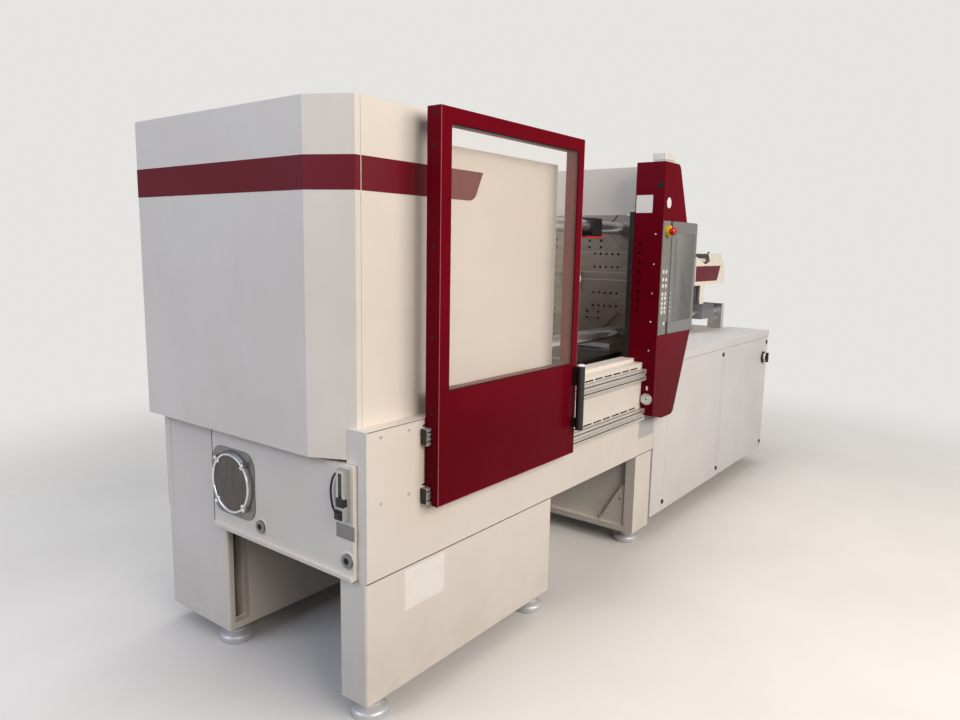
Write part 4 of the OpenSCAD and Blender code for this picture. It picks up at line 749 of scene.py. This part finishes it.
# level gauge: dark sight slot with a pale float stem, black plug block below and its clip;
# each row is finish, slot, points to a corner, place, (width, height, corner radius) and the steps of its edge
gaugeLook = {
    "window": ("black", "black_plastic", 4, (36, 22, 806), (15.4, 112, 3), [(0, -0.5), (0, 1.6), (0.6, 2.2)]),
    "stem": ("bright", "stainless", 3, (36, 25.5, 800), (3.2, 96, 1.5), [(0, 1.8), (0, 3.0), (0.5, 3.4)]),
    "plug": ("black", "black_plastic", 4, (14, 23.5, 724), (37, 34, 5),
             [(0, -1), (0, 0.8), (1.5, 2.2), (6, 2.2), (7, 6), (9, 6.6)]),
    "clip": ("black", "black_plastic", 3, (20, 22, 762), (35, 30, 3), [(0, -14), (0, 1.5), (1.2, 2.4)]),
}
for label, (material, slotName, steps, place, size, profile) in gaugeLook.items():
    addPlate("gauge_" + label, "end", place, size, profile, material, slotName, steps=steps)
print("tank end dressed")

# mould space: lighter strips of painted highlight on the edges between two milled passes of the fixed platen,
# clear of its bolt fields; each pass is height, width of the line, middle and length across
platenLook = {
    "face": 2131,
    "passes": ((1539, 3.0, 462, 700), (1432, 3.0, 462, 700), (1392, 4.0, 462, 700), (1456, 2.6, 118, 90),
               (1321, 2.6, 118, 90), (1268, 2.4, 118, 90)),
    "deckFilm": ((2462, 521, 990), 262, 560, 0.4, 60),
    "blockPlate": ((1664.6, 180.8), (122.1, 198.9), (1609.1, 1616.2)),
}
lines = [thinPlate("end", (platenLook["face"], y, z), width, high, 0.35, 0.5)
         for z, high, y, width in platenLook["passes"]]
buildPiece("platen_pass_highlights", lines, "platenHighlight", "base", smooth=False)
# slanted end of the colour band with its rounded lower corner, laid over the band's own end: the arc is
# centre + radius (cos t, sin t). The rear one also bridges the joint between hood and guard.
bandLook = {
    "low": 1716, "high": 1818, "tip": 690, "arcMiddle": (612, 1764), "arcRadius": 48, "arcTurn": (-90, -14),
    "sides": {"front": (-0.9, -0.45, 560), "rear": (1107.9, 0.45, 478)},     # face, half thickness, start
}
turn = np.radians(np.linspace(*bandLook["arcTurn"], 9))
arc = bandLook["arcMiddle"] + bandLook["arcRadius"] * np.column_stack([np.cos(turn), np.sin(turn)])
for label, (y, step, start) in bandLook["sides"].items():
    corner = [(start, bandLook["high"]), (start, bandLook["low"])]
    outline = np.concatenate([corner, arc, [(bandLook["tip"], bandLook["high"])]])
    flat = np.column_stack([outline[:, 0], np.full(len(outline), y), outline[:, 1]])
    flat = flat if step < 0 else flat[::-1]
    rings = np.stack([flat - [0, step, 0], flat + [0, step, 0]])
    buildPiece("band_end_" + label, [rings], "film", "base", smooth=False)
# red paint of the plate under the clamp block, as a thin skin round it
(x, length), (yLow, yHigh), (zLow, zHigh) = platenLook["blockPlate"]
section = np.array([(x, yLow, zLow), (x, yLow, zHigh), (x, yHigh, zHigh), (x, yHigh, zLow)])
skin = np.stack([section, section + [length, 0, 0]])
buildPiece("clamp_plate_paint", [skin], "signal", "base", smooth=False)
# darker film on the deck behind the platen, under the nozzle
buildPiece("deck_dark_film", [thinPlate("top", *platenLook["deckFilm"])], "deckDark", "base",
           smooth=False)
print("mould space dressed")

# injection cover: stripe on both sides, funnel of the feed throat, slide gate and its knob
coverLook = {
    "stripe": ((3442.5, 1344), (3836, 1344), (3848, 1347), (3858, 1357), (3908, 1450), (3442.5, 1450)),
    "stripeFaces": ((268.2, -1), (667.8, 1)), "stripeLift": 0.5,
    "funnel": [(34, -95), (34, -6), (52, 0), (60, 2), (60, 8), (46, 8), (24, -4), (21, -60), (0.3, -60)],
    "funnelPlace": (3606, 468, 1482),
    "gateSize": (102, 24, 3), "gatePlace": (3636, 300, 1489), "gateEdge": [(0, -46), (0, 0), (1.5, 1.5)],
    "knob": [(4, 0), (4, 3), (7, 4), (8, 7), (7.4, 10), (4.6, 12), (0.3, 12.6)], "knobPlace": (3715, 292, 1536),
}


def stripeRings(y, outward):
    # film whose far end slants, with a rounded lower corner: its outline at the sheet and again 0.5 mm off it
    corners = np.array(coverLook["stripe"])[::-outward]
    flat = np.column_stack([corners[:, 0], np.full(len(corners), y), corners[:, 1]])
    return np.stack([flat, flat + [0, outward * coverLook["stripeLift"], 0]])


stripes = [stripeRings(y, outward) for y, outward in coverLook["stripeFaces"]]
buildPiece("injection_stripe", stripes, "film", "carriage", smooth=False)
addTurned("throat_funnel", "top", coverLook["funnelPlace"], coverLook["funnel"], 32, "zinc",
          "carriage")
addPlate("slide_gate", "front", coverLook["gatePlace"], coverLook["gateSize"], coverLook["gateEdge"], "lamp",
         "light_plastic", "carriage", steps=4)
addTurned("slide_knob", "top", coverLook["knobPlace"], coverLook["knob"], 20, "black",
          "carriage")
print("injection unit dressed")

# cabinet: folded stile beside the split as a fine shadow line, pale collar round the switch's hub
cabinetLook = {
    "fold": (3150, 526), "foldSize": (1.6, 806), "collarPlace": (3993, -65, 800),
    "collar": [(21, 0.5), (30, 0.5), (31, 2), (31, 11), (29, 13), (21, 13)],
}
x, z = cabinetLook["fold"]
doorFace = cadBoxFront("cabinet_door_left")
buildPiece("cabinet_fold_left", [thinPlate("front", (x, doorFace, z), *cabinetLook["foldSize"], 0.25, 0.5)],
           "foldShade", "left_door", smooth=False)
addTurned("switch_collar", "front", cabinetLook["collarPlace"], cabinetLook["collar"], 36, "key",
          "switch_handle")
print("cabinet dressed")

# room: pale floor that runs into the backdrop between the two radii (metres), soft sky and three large lamps
roomLook = {
    "floor": "#DEDBD7", "floorClouds": "#CCC8C3", "cloudSize": 900, "floorShade": "#3D362F",
    "backdrop": "#E6E4E1", "fadeFrom": 2.3, "fadeTo": 5.2,
    "skyLow": "#B4B2B4", "skyHigh": "#F1F3F8", "skyPower": 0.56,
}
lampLook = {
    "key_softbox": {"place": (-1.3, -5.6, 3.4), "aim": (-0.1, 0, 1.1), "size": (6.5, 3.0),
                    "power": 340.0, "colour": "#FFF4E8"},
    "end_softbox": {"place": (-5.8, 1.2, 3.0), "aim": (-1.5, 0, 1.1), "size": (3.0, 2.5),
                    "power": 100.0, "colour": "#D8E5FF"},
    "top_softbox": {"place": (0.2, 0.6, 7.2), "aim": (0, 0, 0), "size": (5.0, 3.0),
                    "power": 155.0, "colour": "#FFFDF8"},
}


def floorMesh():
    # rings of (r cos t, r sin t, 0) round a closed middle disc, joined by quads that face up
    t = np.linspace(0, 2 * np.pi, 64, endpoint=False)
    r = np.array([0.5, 4.0, 12.0, 60.0])
    grid = np.stack([r[:, None] * np.cos(t), r[:, None] * np.sin(t), np.zeros((4, 64))], -1).reshape(-1, 3)
    ring = np.arange(64)
    after = (ring + 1) % 64
    row = (np.arange(3) * 64)[:, None]
    quads = np.stack([row + ring, row + after, row + 64 + after, row + 64 + ring], -1).reshape(-1, 4)[:, ::-1]
    mesh = bpy.data.meshes.new("studio_floor")
    mesh.from_pydata(grid.tolist(), [], quads.tolist() + [ring.tolist()])
    return mesh


def makeFloor():
    # a large pale plane with faint cement clouding; far from the machine it runs into the backdrop's colour,
    # and light that it throws back comes from a darker tone, as from the shop's floor
    mesh = floorMesh()
    floor = bpy.data.objects.new("studio_floor", mesh)
    bpy.context.scene.collection.objects.link(floor)
    material = bpy.data.materials.new("pale_studio_floor")
    material.use_nodes = True
    tree = material.node_tree
    tree.nodes.clear()
    coords = addNode(tree, "ShaderNodeTexCoord").outputs["Object"]
    path = addNode(tree, "ShaderNodeLightPath")
    shown = path.outputs["Is Camera Ray"]
    for ray in ("Is Glossy Ray", "Is Transmission Ray"):
        rays = {0: shown, 1: path.outputs[ray]}
        shown = addNode(tree, "ShaderNodeMath", rays, operation="MAXIMUM").outputs[0]
    clouds = cloudy(tree, coords, roomLook["cloudSize"], detail=5)
    pale = overlaid(tree, roomLook["floor"], roomLook["floorClouds"], clouds, 0.35)
    tone = overlaid(tree, roomLook["floorShade"], pale, shown)
    cement = addNode(tree, "ShaderNodeBsdfPrincipled", {"Base Color": tone, "Roughness": 0.8}).outputs[0]
    far = addNode(tree, "ShaderNodeEmission", {"Color": roomLook["backdrop"], "Strength": 1.0}).outputs[0]
    # distance from the middle: 0 within the first radius, 1 beyond the second
    away = addNode(tree, "ShaderNodeVectorMath", {0: coords}, operation="LENGTH").outputs["Value"]
    reach = {"Value": away, "From Min": roomLook["fadeFrom"], "From Max": roomLook["fadeTo"]}
    fade = addNode(tree, "ShaderNodeMapRange", reach, interpolation_type="SMOOTHSTEP").outputs[0]
    blend = addNode(tree, "ShaderNodeMath", {0: fade, 1: shown}, operation="MULTIPLY").outputs[0]
    surface = addNode(tree, "ShaderNodeMixShader", {0: blend, 1: cement, 2: far}).outputs[0]
    addNode(tree, "ShaderNodeOutputMaterial", {"Surface": surface})
    mesh.materials.append(material)


def makeSky():
    # what lights the machine is a soft grey that brightens upward; the camera sees the plain backdrop
    world = bpy.data.worlds.new("soft_room")
    bpy.context.scene.world = world
    world.use_nodes = True
    tree = world.node_tree
    tree.nodes.clear()
    ray = addNode(tree, "ShaderNodeTexCoord").outputs["Generated"]
    up = addNode(tree, "ShaderNodeSeparateXYZ", {0: ray}).outputs[2]
    height = addNode(tree, "ShaderNodeMapRange", {"Value": up, "From Min": -0.1, "From Max": 0.8}).outputs[0]
    tone = overlaid(tree, roomLook["skyLow"], roomLook["skyHigh"], height)
    sky = {"Color": tone, "Strength": roomLook["skyPower"]}
    lit = addNode(tree, "ShaderNodeBackground", sky).outputs[0]
    seen = addNode(tree, "ShaderNodeBackground", {"Color": roomLook["backdrop"], "Strength": 1.0}).outputs[0]
    path = addNode(tree, "ShaderNodeLightPath").outputs
    rays = {0: path["Is Camera Ray"], 1: path["Is Transmission Ray"]}
    shown = addNode(tree, "ShaderNodeMath", rays, operation="MAXIMUM").outputs[0]
    mixed = addNode(tree, "ShaderNodeMixShader", {0: shown, 1: lit, 2: seen}).outputs[0]
    addNode(tree, "ShaderNodeOutputWorld", {"Surface": mixed})


def softBox(name, place, aim, size, power, colour):
    # a rectangular lamp pointed from place to aim, in row metres
    lamp = bpy.data.lights.new(name, "AREA")
    lamp.shape = "RECTANGLE"
    lamp.size, lamp.size_y = size
    lamp.energy = power
    lamp.color = linearHex(colour)[:3]
    holder = bpy.data.objects.new(name, lamp)
    holder.location = place
    holder.rotation_euler = (Vector(aim) - Vector(place)).to_track_quat("-Z", "Y").to_euler()
    bpy.context.scene.collection.objects.link(holder)


makeFloor()
makeSky()
for name, lamp in lampLook.items():
    softBox(name, **lamp)

# camera solved from the photograph's straight edges: place in machine mm, turn, dip and tilt in degrees
cameraLook = {
    "place": (-1453.3, -1648.2, 1557.2), "azimuth": 37.5268, "dip": -8.7843, "tilt": 1.0454,
    "lens": 27.549, "sensor": 36.0,    # mm
}
azimuth, dip, tilt = np.radians([cameraLook["azimuth"], cameraLook["dip"], cameraLook["tilt"]])
ahead = np.array([np.cos(dip) * np.cos(azimuth), np.cos(dip) * np.sin(azimuth), np.sin(dip)])
right = np.array([np.sin(azimuth), -np.cos(azimuth), 0.0])
over = np.cross(right, ahead)
side = np.cos(tilt) * right + np.sin(tilt) * over
top = -np.sin(tilt) * right + np.cos(tilt) * over
lens = bpy.data.cameras.new("photo_camera")
lens.sensor_width, lens.lens, lens.clip_end = cameraLook["sensor"], cameraLook["lens"], 200.0
camera = bpy.data.objects.new("photo_camera", lens)
bpy.context.scene.collection.objects.link(camera)
turned = np.eye(4)
turned[:3, 0], turned[:3, 1], turned[:3, 2] = side, top, -ahead
turned[:3, 3] = toRow(cameraLook["place"])
camera.matrix_world = Matrix(turned.tolist())
bpy.context.scene.camera = camera
bpy.context.scene.view_settings.view_transform = "Standard"
print("room, lamps and camera set")
